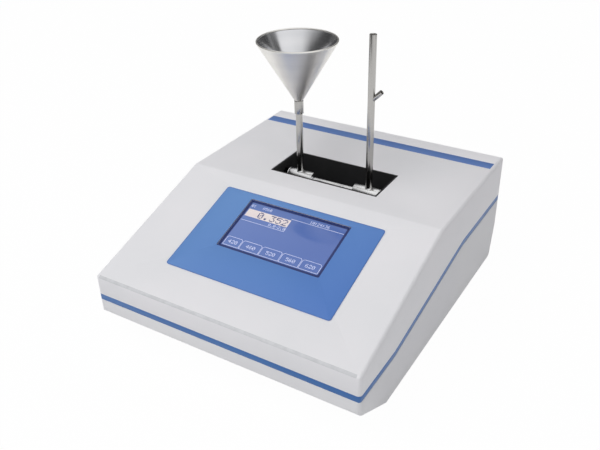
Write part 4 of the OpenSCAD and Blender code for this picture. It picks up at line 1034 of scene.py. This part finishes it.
@dataclass
class RearPanel:
    """The recessed panel at the rear with its power inlet, switch and data ports."""

    mid: float = 90.0
    face: float = 163.0
    inlet_x: float = -88.0
    port_xs: tuple[float, ...] = (-8.0, 30.0)
    usb_x: float = 58.0
    screw_xs: tuple[float, ...] = (-88.0, 0.0, 88.0)
    screw_zs: tuple[float, ...] = (62.4, 117.6)
    screw_seat: float = 173.4
    rocker_tilt: float = 9.0
    rocker_axis: Point3 = (-52.0, 161.0, 90.0)

    def build(self) -> None:
        """Makes the panel and what is set in it."""
        refine("rear_panel", PANEL_PAINT, "housing", "panel_paint", 0.15)
        refine("mains_inlet", BLACK_PLASTIC, "housing", "black_plastic", 0.3)
        refine("fuse_drawer", BLACK_PLASTIC, "drawer", "black_plastic", 0.25)
        refine("switch_frame", BLACK_PLASTIC, "housing", "black_plastic", 0.3)
        refine("power_rocker", ROCKER_PLASTIC, "rocker", "black_plastic", 0.4, 3)
        refine("usb_port", ZINC_STEEL, "housing", "screw_steel", 0.12)
        dress(SOLDER_MASK, "port_board")
        self.pins()
        self.marks()
        self.screws()
        self.serial()

    def pins(self) -> None:
        """Makes the bright sleeves of the power inlet's three pins and the data port's contacts."""
        form = Form()
        for x, up, front in ((-7.0, -6.0, 161.0), (7.0, -6.0, 161.0), (0.0, -3.0, 162.0)):
            middle = (self.inlet_x + x, (front + 0.05 + 149.2) / 2, self.mid + up)
            pin = Form().block((2.1, front + 0.05 - 149.2, 4.1), middle)
            form.add(pin.bevel(0.45, 2))
        form.piece("inlet_pins", ZINC_STEEL, "housing", "screw_steel")
        contacts = Form()
        for i in range(4):
            contacts.block((1.0, 7.0, 0.12), (self.usb_x + (i - 1.5) * 2.3, self.face - 3.5, self.mid + 0.06))
        contacts.piece("data_port_contacts", GOLD_CONTACT, "housing", "screw_steel")

    def marks(self) -> None:
        """Makes the bar and the ring that mark the rocker's two sides."""
        tilt = Matrix.Translation(self.rocker_axis) @ Matrix.Rotation(math.radians(self.rocker_tilt), 4, "X")
        lean = math.atan2(1.6, 11.8)
        upper = tilt @ Matrix.Translation((0, 2.6, 5.9)) @ Matrix.Rotation(-lean, 4, "X")
        lower = tilt @ Matrix.Translation((0, 2.6, -5.9)) @ Matrix.Rotation(lean, 4, "X")
        form = Form()
        form.add(Form().block((0.7, 0.1, 3.6), (0, 0.03, 0)), upper)
        ring = Form().lathe([(1.25, -0.02), (1.85, -0.02), (1.85, 0.08), (1.25, 0.08)], 40)
        form.add(ring, lower @ Matrix.Rotation(-math.pi / 2, 4, "X"))
        form.piece("rocker_marks", MARK_WHITE, "rocker", "black_plastic")

    def screws(self) -> None:
        """Makes the six pan head screws with a hexagon socket."""
        head = Form().lathe([(0, -4.2), (1.25, -4.2), (1.25, 0.0), (2.2, 0.0), (2.2, 0.7), (1.95, 1.15),
                             (1.5, 1.4), (1.3, 1.4), (1.1, 0.5), (0, 0.5)], 40)
        form = Form()
        for x in self.screw_xs:
            for z in self.screw_zs:
                form.add(head, along("Y", (x, self.screw_seat, z)))
        form.piece("rear_panel_screws_made", ZINC_STEEL, "housing", "screw_steel", ("rear_panel_screws",))

    def serial(self) -> None:
        """Makes the two nine-way data connectors, each with its shell, pins and jack screws."""
        shells, inner, pins = Form(), Form(), Form()
        outline = [(-8.3, 4.1), (-7.3, -4.1), (7.3, -4.1), (8.3, 4.1)]
        for x in self.port_xs:
            plate = Form().plate([(-15.4, -6.2), (15.4, -6.2), (15.4, 6.2), (-15.4, 6.2)], 1.0, 1.5)
            shell = Form().plate(outline, 6.0, 1.6).pocket(0.45, 5.2)
            case = Form().block((19.0, 10.6, 10.0), (0, 0, -6.0))
            place = Matrix.Translation((x, self.face, self.mid)) @ Matrix.Rotation(-math.pi / 2, 4, "X")
            shells.add(plate, place)
            shells.add(shell, place)
            shells.add(case, place)
            inner.add(Form().plate([(a * 0.93, b * 0.9) for a, b in outline], 2.2, 1.4), place)
            for row, count in ((1.4, 5), (-1.4, 4)):
                for i in range(count):
                    pin = Form().lathe([(0, 0), (0.5, 0), (0.5, 4.6), (0.35, 5.0), (0, 5.1)], 16)
                    pins.add(pin, place @ Matrix.Translation(((i - (count - 1) / 2) * 2.77, row, 0.4)))
            jack = Form().lathe([(1.5, 0), (2.5, 0), (2.5, 4.6), (2.2, 5.0), (1.5, 5.0)], 6)
            for side in (-12.5, 12.5):
                shells.add(jack, place @ Matrix.Translation((side, 0, 0)))
        shells.piece("serial_shells", ZINC_STEEL, "housing", "screw_steel", ("serial_ports",))
        inner.piece("serial_inserts", BLACK_PLASTIC, "housing", "black_plastic")
        pins.piece("serial_pins", GOLD_CONTACT, "housing", "screw_steel")


@dataclass
class Underside:
    """The rubber feet and the screws in the tub's floor."""

    foot_at: tuple[Point2, ...] = ((-112.0, -103.0), (112.0, -103.0), (-112.0, 133.0), (112.0, 133.0))

    def build(self) -> None:
        """Makes the feet and dresses the screws."""
        foot = Form().lathe([(2.1, 1.6), (4.1, 1.6), (4.1, 0.5), (4.5, 0.0), (7.0, 0.0), (7.7, 0.25),
                             (8.0, 0.9), (8.0, 3.0), (2.1, 3.0)], 48)
        form = Form()
        for x, y in self.foot_at:
            form.add(foot, Matrix.Translation((x, y, 0)))
        form.piece("rubber_feet_made", FOOT_RUBBER, "housing", "rubber", ("rubber_feet",))
        refine("foot_screws", ZINC_STEEL, "housing", "screw_steel", 0.2)
        refine("cover_screws", ZINC_STEEL, "housing", "screw_steel", 0.2)


@dataclass
class Inside:
    """The electronics and the optics, which the closed housing hides."""

    def build(self) -> None:
        """Dresses every hidden node."""
        dress(SHEET_ALLOY, "display_module", "chassis_plate", "power_cage", "optical_bench", "lamp_stand",
              "lamp_housing", "motor_bracket", "detector_stand", "detector_housing")
        dress(SOLDER_MASK, "main_board", "power_board", "photodiode_board")
        dress(ZINC_STEEL, "small_screws", "board_standoffs", "bench_pillars", "wheel_motor", "motor_shaft")
        dress(BLACK_ANODISED, "collimator_barrel", "filter_wheel", "detector_barrel")
        dress(OPTICAL_GLASS, "beam_lenses", "halogen_lamp")
        dress(FILTER_GLASS, "colour_filters")
        dress(LAMP_CERAMIC, "lamp_socket")
        dress(RIBBON_GREY, "display_ribbon")


def main() -> None:
    """Builds the studio and each sub-assembly in order."""
    logging.basicConfig(level=logging.INFO, format="%(name)s: %(message)s")
    Studio().build()
    for assembly in (Housing(), ControlPanel(), Chamber(), FlowCell(), Funnel(), RearPanel(), Underside(), Inside()):
        assembly.build()
    bpy.context.view_layer.update()


if __name__ == "__main__":
    main()
